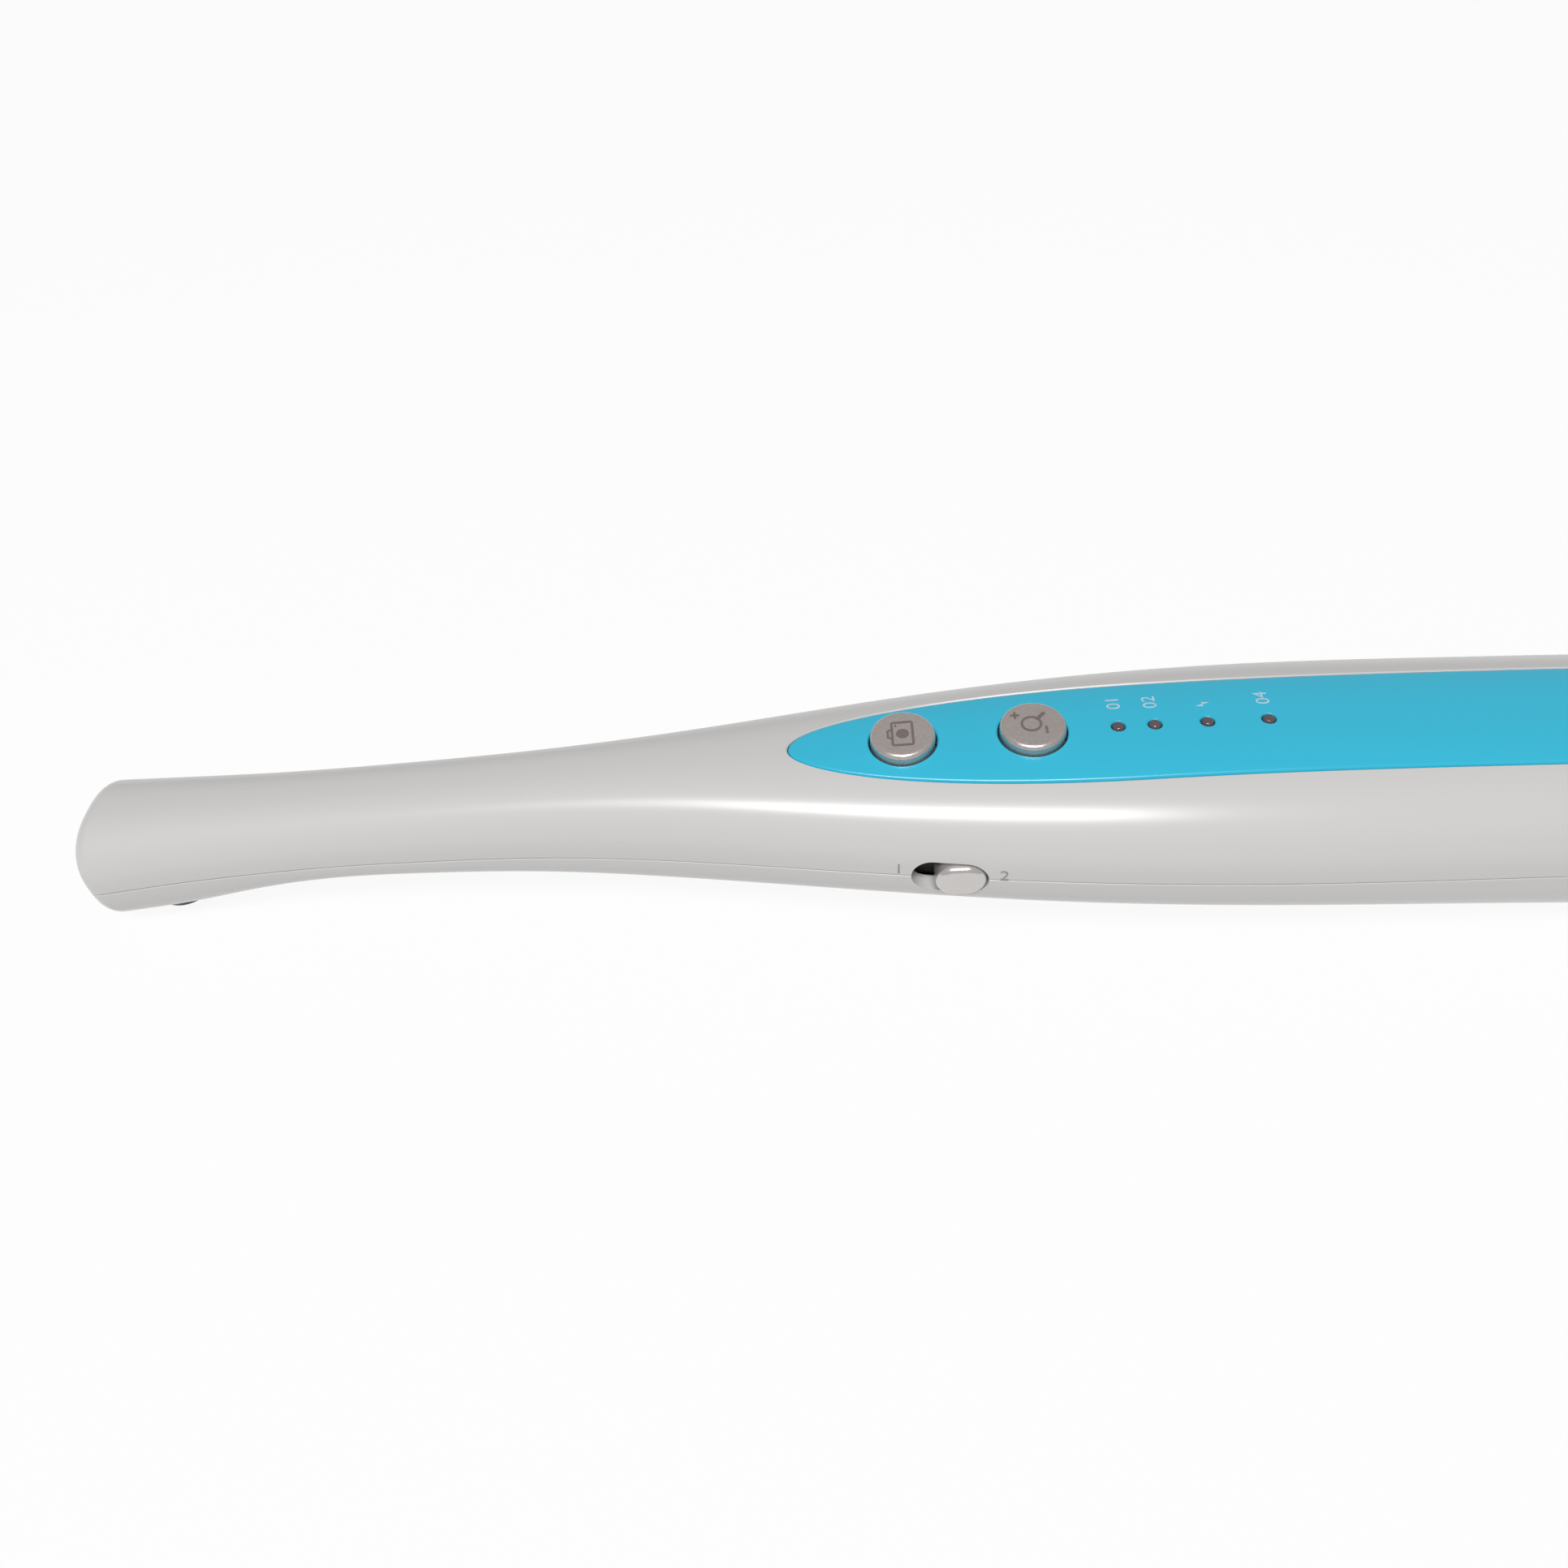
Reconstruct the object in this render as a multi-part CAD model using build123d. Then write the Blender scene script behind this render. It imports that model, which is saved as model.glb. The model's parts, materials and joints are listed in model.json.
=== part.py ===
from build123d import *

import os
from bisect import bisect
from dataclasses import dataclass
from math import atan2, ceil, cos, degrees, hypot, pi, sin

import numpy

# Intraoral camera, in millimetres. +X runs from the head to the tail, +Z is the side with the
# control panel, and -Y is the near side with the slide switch. The origin is the middle of the
# footprint, on the table that the camera lies on. Places along the body are counted from the nose.


@dataclass(frozen=True)
class Section:
    """One cross-section of the housing: its place behind the nose, its half width, and the heights
    above the table of its top, its parting line and its underside."""

    at: float
    half_width: float
    top: float
    split: float
    bottom: float


# Form of the housing
LENGTH = 205.0
HEAD_END = Section(at=2.0, half_width=6.75, top=13.35, split=6.8, bottom=0.4)
LENS_FACE = Section(at=10.0, half_width=6.2, top=13.8, split=7.6, bottom=1.4)
THROAT = Section(at=18.0, half_width=5.85, top=14.15, split=8.25, bottom=3.4)
NECK_FRONT = Section(at=26.0, half_width=5.65, top=14.65, split=8.8, bottom=4.7)
NECK = Section(at=36.0, half_width=5.7, top=15.35, split=9.3, bottom=5.05)
NECK_REAR = Section(at=48.0, half_width=6.05, top=16.25, split=9.8, bottom=4.85)
FLARE = Section(at=64.0, half_width=7.55, top=17.45, split=10.3, bottom=4.15)
SHOULDER = Section(at=82.0, half_width=10.2, top=18.65, split=10.95, bottom=3.85)
FINGER_REST = Section(at=100.0, half_width=12.3, top=19.6, split=11.35, bottom=3.3)
GRIP = Section(at=120.0, half_width=13.35, top=20.2, split=11.4, bottom=2.6)
PALM = Section(at=144.0, half_width=13.3, top=20.15, split=11.2, bottom=1.3)
TAIL = Section(at=175.0, half_width=12.7, top=19.2, split=10.8, bottom=-0.3)
TAIL_END = Section(at=LENGTH - 2.0, half_width=10.9, top=16.6, split=9.9, bottom=1.4)
SECTIONS = [HEAD_END, LENS_FACE, THROAT, NECK_FRONT, NECK, NECK_REAR, FLARE, SHOULDER]
SECTIONS += [FINGER_REST, GRIP, PALM, TAIL, TAIL_END]
SQUARENESS = 2.5
NOSE_ROUND = 2.2
TAIL_ROUND = 4.5
WALL = 1.6
TAIL_WALL = 2.4
SEAM_GAP = 0.08
LIP_HEIGHT = 1.0
LIP_ROOT = 1.0
LIP_CLEARANCE = 0.1
STATION_STEP = 12.0
ARC_STEPS = 8
ROUND_STEPS = 4

# Control panel
PANEL_START = 74.2
PANEL_END = 172.0
PANEL_HALF_WIDTH = 6.5
PANEL_NOSE = 34.0
PANEL_REAR = 14.0
PANEL_THICKNESS = 0.9
PANEL_CLEARANCE = 0.08

# Buttons, each in the frame of the panel at the capture button
CAPTURE_AT = 85.6
ZOOM_AT = 98.2
BUTTON_HOLE = 6.8
BUTTON_CLEARANCE = 0.2
BUTTON_PROUD = 1.0
BUTTON_EDGE = 0.5
BUTTON_TRAVEL = 0.3
FLANGE_WIDER = 0.9
FLANGE_THICKNESS = 0.8
FLANGE_GAP = 0.1
GUIDE_WALL = 1.3
GUIDE_DEPTH = 2.6
PUSH_SWITCH = 5.2
PUSH_SWITCH_HEIGHT = 1.8
PUSH_SWITCH_ROOM = 0.1
SWITCH_LEG = (0.7, 0.7, 0.4)
PLUNGER_RADIUS = 1.1
PLUNGER_CLEARANCE = 0.08
PLUNGER_SUNK = 0.9

# Key board under the panel
KEY_BOARD_FRONT = 5.2
KEY_BOARD_REAR = 38.4
KEY_BOARD_HALF_WIDTH = 6.4
BOARD_THICKNESS = 1.0
BOARD_CORNER = 1.2
KEY_POST_FRONT = -3.4
KEY_POST_REAR = 32.4
KEY_POST_SIDE = 4.9
KEY_POST_RADIUS = 1.3
KEY_SCREW_RADIUS = 0.7
KEY_SCREW_LENGTH = 3.0
KEY_SCREW_HEAD = 1.25
KEY_SCREW_HEAD_HEIGHT = 0.7
SCREW_CLEARANCE = 0.1

# Indicator lights
LIGHT_PLACES = [106.4, 109.9, 114.9, 120.7]
LIGHT_RADIUS = 0.62
LIGHT_CLEARANCE = 0.06
LIGHT_DOME = 0.15
LIGHT_BAR_WIDTH = 2.4
LIGHT_BAR_THICKNESS = 0.9
LIGHT_BAR_END = 1.3
LIGHT_CHIP = 1.2
LIGHT_CHIP_HEIGHT = 0.5
LIGHT_GAP = 0.3

# Slide switch on the near side
SLIDE_AT = 89.6
SLIDE_HEIGHT = 11.05
SLOT_LENGTH = 7.4
SLOT_WIDTH = 4.2
KNOB_LENGTH = 5.0
KNOB_CLEARANCE = 0.15
KNOB_PROUD = 0.7
KNOB_REACH_IN = 2.4
KNOB_EDGE = 0.7
SLIDE_TRAVEL = 2.0
LEVER = 1.2
LEVER_CLEARANCE = 0.05
LEVER_SIDE_ROOM = 0.2
LEVER_SUNK = 1.4
SLIDE_BODY = (8.6, 3.8, 3.0)
SLIDE_GAP = 0.3

# Main board
BOARD_TOP = 8.9
BOARD_CLEARANCE = 0.5
BOARD_START = 77.0
RIB_PLACES = [100.0, 142.0, 168.0]
RIB_THICKNESS = 1.2
PROCESSOR_AT = 104.0
PROCESSOR = (11.0, 11.0, 1.2)
WIRELESS_AT = 116.0
WIRELESS = (16.0, 12.0, 2.0)
ANTENNA_AT = LENGTH - 10.0
ANTENNA_SIDE = 6.6
ANTENNA = (3.2, 1.6, 1.2)

# Housing screws: place behind the nose and distance to the side
SCREW_PLACES = [(127.6, 8.4), (127.6, -8.4), (LENGTH - 15.5, 0.0)]
SCREW_RADIUS = 1.0
SCREW_HEAD = 1.9
SCREW_HEAD_HEIGHT = 1.3
SCREW_LENGTH = 9.0
SCREW_SUNK = 2.0
BOSS_WALL = 1.1
PILOT_CLEARANCE = 0.04
PILOT_SPARE = 0.5

# Battery
BATTERY_START = 131.6
BATTERY = (46.0, 15.0, 6.8)
BATTERY_ROUND = 1.8
BATTERY_PAD = 0.6
TAB_WIDTH = 3.0
TAB_SIDE = 4.0
TAB_THICKNESS = 0.2
TAB_REACH = 1.6

# Data socket in the tail
SOCKET = (5.4, 7.4, 2.6)
SOCKET_WALL = 0.3
SOCKET_CLEARANCE = 0.3
SOCKET_RECESS = 0.5
TONGUE_THICKNESS = 0.7

# Camera in the head, square to the underside at the lens
LENS_AT = 6.9
BEZEL_RADIUS = 3.6
BEZEL_WALL = 0.6
BEZEL_LIP = 0.4
BEZEL_PROUD = 0.45
BEZEL_DEPTH = 1.9
BEZEL_EDGE = 0.35
BEZEL_CLEARANCE = 0.05
WINDOW_THICKNESS = 0.6
WINDOW_SUNK = 0.1
RING_BOARD_AT = 1.25
RING_BOARD_THICKNESS = 0.6
HEAD_LIGHTS = 6
HEAD_LIGHT = (0.8, 0.8, 0.35)
BARREL_RADIUS = 1.6
BARREL_WALL = 0.35
BARREL_START = 0.9
BARREL_LENGTH = 2.8
LENS_THICKNESS = 0.7
LENS_CLEARANCE = 0.05
MOUNT_SIDE = 6.2
MOUNT_START = 2.6
MOUNT_HEIGHT = 2.2
SENSOR = (4.2, 4.2, 0.8)
SENSOR_ROOM = 0.2
SENSOR_BOARD = (8.4, 7.2, 0.8)
SENSOR_BOARD_SHIFT = 0.9
HEAD_POST_RADIUS = 0.6

# Flat cables
FLEX_WIDTH = 4.0
FLEX_THICKNESS = 0.25
FLEX_CLEARANCE = 0.05
FLEX_BEND = 12.0
FLEX_RUN_OUT = 1.5
FLEX_ROUTE = [(22.0, 8.7), (42.0, 10.0), (66.0, 10.2)]
FLEX_CONNECTOR = (3.4, 6.0, 1.6)
CONNECTOR_AT = BOARD_START + 1.0
KEY_FLEX_WIDTH = 4.0
KEY_FLEX_BEND = 0.6
KEY_FLEX_FOOT = 3.0

HALF_LENGTH = LENGTH / 2


class SmoothLine:
    """A line with no sudden change of bend through given points: a natural cubic."""

    def __init__(self, places, values):
        self.places, self.values = places, values
        self.gaps = [after - before for before, after in zip(places, places[1:])]
        matrix = numpy.eye(len(places))
        wanted = numpy.zeros(len(places))
        for row in range(1, len(places) - 1):
            before, after = self.gaps[row - 1], self.gaps[row]
            matrix[row, row - 1 : row + 2] = before, 2 * (before + after), after
            rise = (values[row + 1] - values[row]) / after
            wanted[row] = 6 * (rise - (values[row] - values[row - 1]) / before)
        self.bends = numpy.linalg.solve(matrix, wanted)

    def at(self, place):
        step = min(max(bisect(self.places, place) - 1, 0), len(self.gaps) - 1)
        gap = self.gaps[step]
        far = (place - self.places[step]) / gap
        near = 1 - far
        straight = near * self.values[step] + far * self.values[step + 1]
        bend = (near**3 - near) * self.bends[step] + (far**3 - far) * self.bends[step + 1]
        return float(straight + bend * gap**2 / 6)


PLACES = [section.at for section in SECTIONS]
HALF_WIDTHS = SmoothLine(PLACES, [section.half_width for section in SECTIONS])
TOPS = SmoothLine(PLACES, [section.top for section in SECTIONS])
SPLITS = SmoothLine(PLACES, [section.split for section in SECTIONS])
BOTTOMS = SmoothLine(PLACES, [section.bottom for section in SECTIONS])


def along(at):
    """X of a place that is counted from the nose."""
    return at - HALF_LENGTH


def curve_height(share):
    """Height of the section's curve, from 1 on the middle line to 0 at the widest point."""
    return max(0.0, 1 - min(abs(share), 1.0) ** SQUARENESS) ** (1 / SQUARENESS)


def top_at(at, side=0.0):
    rise = TOPS.at(at) - SPLITS.at(at)
    return SPLITS.at(at) + rise * curve_height(side / HALF_WIDTHS.at(at))


def bottom_at(at, side=0.0):
    fall = SPLITS.at(at) - BOTTOMS.at(at)
    return SPLITS.at(at) - fall * curve_height(side / HALF_WIDTHS.at(at))


def side_at(at, height):
    above = height - SPLITS.at(at)
    reach = TOPS.at(at) - SPLITS.at(at) if above > 0 else SPLITS.at(at) - BOTTOMS.at(at)
    return HALF_WIDTHS.at(at) * curve_height(above / reach)


def half_curve(x, half_width, split, reach):
    """Half of a superellipse, from +Y over to -Y. A negative reach makes the lower half."""
    way = 1 if reach > 0 else -1
    points = []
    for step in range(ARC_STEPS + 1):
        angle = pi * step / ARC_STEPS
        across = abs(cos(angle)) ** (2 / SQUARENESS) * (1 if step * 2 <= ARC_STEPS else -1)
        points.append((x, half_width * across, split + reach * sin(angle) ** (2 / SQUARENESS)))
    points[0] = (x, half_width, split)
    points[-1] = (x, -half_width, split)
    return Spline(points, tangents=[(0, 0, way), (0, 0, -way)])


def whole_curve(x, half_width, split, rise, fall):
    """A closed section curve. It starts off the middle line and off the parting line."""
    count = 2 * ARC_STEPS
    points = []
    for step in range(count):
        angle = pi / 3 + 2 * pi * step / count
        across = abs(cos(angle)) ** (2 / SQUARENESS) * (1 if cos(angle) > 0 else -1)
        reach = rise if sin(angle) > 0 else -fall
        height = split + reach * abs(sin(angle)) ** (2 / SQUARENESS)
        points.append((x, half_width * across, height))
    return Spline(points, periodic=True)


def section_face(at, shrink=0.0, half=None, drop=0.0):
    """Section of the housing, shrunk on all sides: whole, or only its "upper" or "lower" half."""
    x, half_width = along(at), HALF_WIDTHS.at(at) - shrink
    split = SPLITS.at(at) - drop
    rise, fall = TOPS.at(at) - shrink - split, split - BOTTOMS.at(at) - shrink
    if half is None:
        return Face(Wire([whole_curve(x, half_width, split, rise, fall)]))
    curve = half_curve(x, half_width, split, rise if half == "upper" else -fall)
    return Face(Wire([curve, Line((x, -half_width, split), (x, half_width, split))]))


def spans(start, end):
    """Evenly spaced places from one to the other."""
    count = ceil((end - start) / STATION_STEP)
    return [start + (end - start) * step / count for step in range(count + 1)]


def outer_half(half, drop=0.0):
    """Upper or lower half of the housing's outer form, with its nose and tail rounded over. The
    lower half's upper face can be dropped to leave a gap at the parting line."""
    turns = [pi / 2 * step / ROUND_STEPS for step in range(ROUND_STEPS + 1)]
    nose = [
        section_face(NOSE_ROUND * (1 - cos(turn)), NOSE_ROUND * (1 - sin(turn)), half, drop)
        for turn in turns
    ]
    tail = [
        section_face(LENGTH - TAIL_ROUND * (1 - cos(turn)), TAIL_ROUND * (1 - sin(turn)), half, drop)
        for turn in reversed(turns)
    ]
    body = [section_face(at, 0.0, half, drop) for at in spans(NOSE_ROUND, LENGTH - TAIL_ROUND)]
    form = loft(body) + loft(nose) + loft(tail)
    if half == "upper":
        return form
    # small flat on the underside, which the handle lies on
    return form - block((0, -GRIP.half_width, -WALL), (HALF_LENGTH, GRIP.half_width, 0))


def inner_form(inset, front, rear):
    """Form that lies inset under the outer surface, from one place behind the nose to another."""
    return loft([section_face(at, inset) for at in spans(front, rear)])


def block(low, high):
    """A box between two corners."""
    size = [b - a for a, b in zip(low, high)]
    middle = [(a + b) / 2 for a, b in zip(low, high)]
    return Pos(*middle) * Box(*size)


def column(radius, low, high):
    """An upright cylinder between two heights."""
    return Pos(0, 0, (low + high) / 2) * Cylinder(radius, high - low)


def strip(points, thickness, width, bend=None):
    """A flat strip that follows points in the XZ plane."""
    route = FilletPolyline(*points, radius=bend) if bend else Polyline(*points)
    return extrude(Plane.XZ * trace(route, thickness), width / 2, both=True)


def band(low, high):
    """Everything between two distances above the parting line."""
    places = spans(0.0, LENGTH)
    under = Spline([(along(at), SPLITS.at(at) + low) for at in places])
    over = Spline([(along(at), SPLITS.at(at) + high) for at in places])
    ends = [Line(under @ 0, over @ 0), Line(under @ 1, over @ 1)]
    return extrude(Plane.XZ * make_face([under, over] + ends), GRIP.half_width * 2, both=True)


# Frame of the panel: on its surface at the capture button, X towards the zoom button
RUN = ZOOM_AT - CAPTURE_AT
RISE = top_at(ZOOM_AT) - top_at(CAPTURE_AT)
PANEL_TILT = atan2(RISE, RUN)
BUTTON_SPACING = hypot(RUN, RISE)
PANEL_FRAME = Plane(
    origin=(along(CAPTURE_AT), 0, top_at(CAPTURE_AT)),
    x_dir=(cos(PANEL_TILT), 0, sin(PANEL_TILT)),
    z_dir=(-sin(PANEL_TILT), 0, cos(PANEL_TILT)),
)
BUTTONS = {"capture": 0.0, "zoom": BUTTON_SPACING}

FLANGE_TOP = -GUIDE_DEPTH - FLANGE_GAP
CAP_BOTTOM = FLANGE_TOP - FLANGE_THICKNESS
PUSH_SWITCH_TOP = CAP_BOTTOM - BUTTON_TRAVEL - PUSH_SWITCH_ROOM
KEY_BOARD_TOP = PUSH_SWITCH_TOP - PUSH_SWITCH_HEIGHT
KEY_BOARD_BOTTOM = KEY_BOARD_TOP - BOARD_THICKNESS
CAP_RADIUS = BUTTON_HOLE / 2 - BUTTON_CLEARANCE
BOARD_BOTTOM = BOARD_TOP - BOARD_THICKNESS


def on_panel(shape, across=0.0):
    """A shape made about the panel frame's Z axis, moved along the frame's X and set in place."""
    return PANEL_FRAME.location * Pos(across, 0, 0) * shape


def light_points():
    """Each indicator's place in the panel frame, on the outer surface."""
    points = []
    for at in LIGHT_PLACES:
        local = PANEL_FRAME.to_local_coords(Vector(along(at), 0, top_at(at)))
        points.append((local.X, local.Z))
    return points


def key_posts():
    return [
        (place, side * KEY_POST_SIDE)
        for place in (KEY_POST_FRONT, KEY_POST_REAR)
        for side in (-1, 1)
    ]


def panel_outline(grow=0.0):
    """Plan of the panel: a long half ellipse, straight sides and a shorter half ellipse."""
    front, rear = along(PANEL_START + PANEL_NOSE), along(PANEL_END - PANEL_REAR)
    half_width = PANEL_HALF_WIDTH + grow
    nose = Pos(front, 0) * Ellipse(PANEL_NOSE + grow, half_width)
    tail = Pos(rear, 0) * Ellipse(PANEL_REAR + grow, half_width)
    middle = Pos((front + rear) / 2, 0) * Rectangle(rear - front, 2 * half_width)
    return nose + middle + tail


def panel_prism(grow=0.0):
    return extrude(Pos(0, 0, SPLITS.at(GRIP.at)) * panel_outline(grow), GRIP.top)


def panel_openings():
    """Holes for the buttons and the indicators, through the panel and the ceiling below it."""
    reach = WALL + GUIDE_DEPTH
    cuts = [on_panel(column(BUTTON_HOLE / 2, -reach, reach), at) for at in BUTTONS.values()]
    radius = LIGHT_RADIUS + LIGHT_CLEARANCE
    cuts += [on_panel(column(radius, -reach, reach), at) for at, _ in light_points()]
    return cuts


def slide_slot():
    """The slot with round ends through the near wall, cut across the parting line."""
    outline = SlotOverall(SLOT_LENGTH, SLOT_WIDTH)
    near = -side_at(SLIDE_AT, SLIDE_HEIGHT)
    plane = Plane(origin=(along(SLIDE_AT), near, SLIDE_HEIGHT), x_dir=(1, 0, 0), z_dir=(0, -1, 0))
    return extrude(plane * outline, KNOB_REACH_IN, both=True)


def socket_height():
    return BOARD_TOP + SOCKET[2] / 2


def socket_mouth():
    """The opening for the data socket, out through the tail."""
    width = SOCKET[1] + 2 * SOCKET_CLEARANCE
    height = SOCKET[2] + 2 * SOCKET_CLEARANCE
    outline = RectangleRounded(width, height, height / 3)
    plane = Plane(origin=(HALF_LENGTH, 0, socket_height()), x_dir=(0, 1, 0), z_dir=(1, 0, 0))
    return extrude(plane * outline, SOCKET[0], both=True)


def lens_frame():
    """Frame on the underside at the lens, its Z axis going into the head."""
    slope = BOTTOMS.at(LENS_AT + 1) - BOTTOMS.at(LENS_AT - 1)
    tilt = atan2(slope, 2)
    return Plane(
        origin=(along(LENS_AT), 0, bottom_at(LENS_AT)),
        x_dir=(cos(tilt), 0, sin(tilt)),
        z_dir=(-sin(tilt), 0, cos(tilt)),
    )


LENS_FRAME = lens_frame()


def in_head(shape):
    """A shape made about the lens axis, set in place."""
    return LENS_FRAME.location * shape


def make_panel(outer, floor):
    body = (outer & panel_prism(-PANEL_CLEARANCE)) - floor
    for cut in panel_openings():
        body -= cut
    return body


def make_upper_shell(outer, floor, middle, cavity):
    shell = outer - cavity
    shell -= (outer & panel_prism()) - floor
    # recess along the inner edge for the lower shell's lip
    shell -= middle & band(-LIP_ROOT, LIP_HEIGHT + LIP_CLEARANCE)
    for across in BUTTONS.values():
        ring = column(BUTTON_HOLE / 2 + GUIDE_WALL, -GUIDE_DEPTH, -PANEL_THICKNESS / 2)
        shell += on_panel(ring, across) & floor
    for place, side in key_posts():
        post = column(KEY_POST_RADIUS, KEY_BOARD_TOP, -PANEL_THICKNESS)
        post -= column(KEY_SCREW_RADIUS, KEY_BOARD_TOP, KEY_BOARD_TOP + KEY_SCREW_LENGTH)
        shell += on_panel(Pos(0, side, 0) * post, place) & floor
    for at, side in SCREW_PLACES:
        boss = column(SCREW_RADIUS + BOSS_WALL, BOARD_TOP, top_at(at))
        boss = Pos(along(at), side, 0) * boss & cavity
        shell += boss
        pilot = column(SCREW_RADIUS, BOARD_BOTTOM, screw_seat(at, side) + SCREW_LENGTH + PILOT_SPARE)
        shell -= Pos(along(at), side, 0) * pilot
    for place, side in head_posts():
        low = sensor_board_bottom() + SENSOR_BOARD[2]
        post = in_head(Pos(place, side, 0) * column(HEAD_POST_RADIUS, low, HEAD_END.top))
        shell += post & cavity
    for cut in panel_openings():
        shell -= cut
    return shell - slide_slot() - socket_mouth()


def screw_seat(at, side):
    """Height of the face that a housing screw's head bears on."""
    return bottom_at(at, side) + SCREW_SUNK


def head_posts():
    """Places of the posts that hold the sensor board, in the lens frame."""
    front = SENSOR_BOARD_SHIFT - SENSOR_BOARD[0] / 2 + HEAD_POST_RADIUS
    rear = SENSOR_BOARD_SHIFT + SENSOR_BOARD[0] / 2 - HEAD_POST_RADIUS
    side = SENSOR_BOARD[1] / 2 - HEAD_POST_RADIUS
    return [(place, way * side) for place in (front, rear) for way in (-1, 1)]


def sensor_board_bottom():
    return MOUNT_START + MOUNT_HEIGHT


def make_lower_shell(outer, middle, cavity):
    shell = outer - cavity
    # lip inside the parting line, reaching up into the upper shell's recess
    inset = WALL / 2 + LIP_CLEARANCE
    lip = inner_form(inset, inset, LENGTH - TAIL_WALL / 2) - cavity
    shell += lip & band(-LIP_ROOT, LIP_HEIGHT)
    whole = outer & cavity
    for at in RIB_PLACES:
        rib = block(
            (along(at) - RIB_THICKNESS / 2, -GRIP.half_width, 0),
            (along(at) + RIB_THICKNESS / 2, GRIP.half_width, BOARD_BOTTOM),
        )
        shell += rib & whole
    for at, side in SCREW_PLACES:
        where = Pos(along(at), side, 0)
        boss = where * column(SCREW_HEAD + SCREW_CLEARANCE + BOSS_WALL, 0, BOARD_BOTTOM)
        shell += boss & whole
        seat = screw_seat(at, side)
        shell -= where * column(SCREW_HEAD + SCREW_CLEARANCE, -1, seat)
        shell -= where * column(SCREW_RADIUS + SCREW_CLEARANCE, -1, BOARD_TOP)
    shell -= in_head(column(BEZEL_RADIUS + BEZEL_CLEARANCE, -2, BEZEL_DEPTH + 1))
    return shell - slide_slot() - socket_mouth()


def make_button():
    """A round cap with a flange that stops it under the guide ring."""
    cap = column(CAP_RADIUS, CAP_BOTTOM, BUTTON_PROUD)
    cap = fillet(cap.edges().group_by(Axis.Z)[-1], BUTTON_EDGE)
    return cap + column(CAP_RADIUS + FLANGE_WIDER, CAP_BOTTOM, FLANGE_TOP)


def make_plunger():
    return column(PLUNGER_RADIUS, PUSH_SWITCH_TOP - PLUNGER_SUNK, CAP_BOTTOM)


def make_push_switch():
    """A square switch body with a bore for its plunger and a leg at each corner."""
    half = PUSH_SWITCH / 2
    body = block((-half, -half, KEY_BOARD_TOP), (half, half, PUSH_SWITCH_TOP))
    body = chamfer(body.edges().filter_by(Axis.Z), PUSH_SWITCH / 10)
    for side in (-1, 1):
        middle = Pos(0, side * (half - SWITCH_LEG[1] * 1.5), KEY_BOARD_TOP + SWITCH_LEG[2] / 2)
        body += middle * Box(PUSH_SWITCH + 2 * SWITCH_LEG[0], SWITCH_LEG[1], SWITCH_LEG[2])
    depth = PLUNGER_SUNK + BUTTON_TRAVEL + PUSH_SWITCH_ROOM
    bore = column(PLUNGER_RADIUS + PLUNGER_CLEARANCE, PUSH_SWITCH_TOP - depth, PUSH_SWITCH_TOP + 1)
    return body - bore


def make_key_board():
    length = KEY_BOARD_FRONT + KEY_BOARD_REAR
    plan = RectangleRounded(length, 2 * KEY_BOARD_HALF_WIDTH, BOARD_CORNER)
    middle = (KEY_BOARD_REAR - KEY_BOARD_FRONT) / 2
    board = extrude(Pos(middle, 0, KEY_BOARD_BOTTOM) * plan, BOARD_THICKNESS)
    for place, side in key_posts():
        hole = column(KEY_SCREW_RADIUS + SCREW_CLEARANCE, KEY_BOARD_BOTTOM - 1, KEY_BOARD_TOP + 1)
        board -= Pos(place, side, 0) * hole
    return on_panel(board)


def make_screw(radius, head_radius, head_height, length):
    """A screw standing head down, the face under its head at zero."""
    head = column(head_radius, -head_height, 0)
    head = fillet(head.edges().group_by(Axis.Z)[0], head_height / 3)
    slot = Box(head_radius * 1.2, head_radius * 0.3, head_height)
    cross = slot + Rot(0, 0, 90) * slot
    head -= Pos(0, 0, -head_height) * cross
    return head + column(radius, 0, length)


def make_key_screws():
    screw = make_screw(
        KEY_SCREW_RADIUS - PILOT_CLEARANCE,
        KEY_SCREW_HEAD,
        KEY_SCREW_HEAD_HEIGHT,
        BOARD_THICKNESS + KEY_SCREW_LENGTH * 0.9,
    )
    return [on_panel(Pos(0, side, KEY_BOARD_BOTTOM) * screw, place) for place, side in key_posts()]


def make_housing_screws():
    radius = SCREW_RADIUS - PILOT_CLEARANCE
    screw = make_screw(radius, SCREW_HEAD, SCREW_HEAD_HEIGHT, SCREW_LENGTH)
    return [Pos(along(at), side, screw_seat(at, side)) * screw for at, side in SCREW_PLACES]


def make_light_guide():
    """Four domed pins on one bar, moulded clear."""
    points = light_points()
    bar_top = min(height for _, height in points) - WALL - LIGHT_CLEARANCE
    start, end = points[0][0] - LIGHT_BAR_END, points[-1][0] + LIGHT_BAR_END
    half = LIGHT_BAR_WIDTH / 2
    guide = block((start, -half, bar_top - LIGHT_BAR_THICKNESS), (end, half, bar_top))
    guide = fillet(guide.edges().filter_by(Axis.Z), half * 0.8)
    foot = KEY_BOARD_TOP + LIGHT_CHIP_HEIGHT + LIGHT_GAP
    for place, height in points:
        pin = column(LIGHT_RADIUS, foot, height + LIGHT_DOME)
        pin = fillet(pin.edges().group_by(Axis.Z)[-1], LIGHT_RADIUS * 0.6)
        guide += Pos(place, 0, 0) * pin
    return on_panel(guide)


def make_indicator_leds():
    half = LIGHT_CHIP / 2
    chip = block((-half, -half, KEY_BOARD_TOP), (half, half, KEY_BOARD_TOP + LIGHT_CHIP_HEIGHT))
    chip = chamfer(chip.edges().filter_by(Axis.Z), half / 4)
    return [on_panel(chip, place) for place, _ in light_points()]


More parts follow.
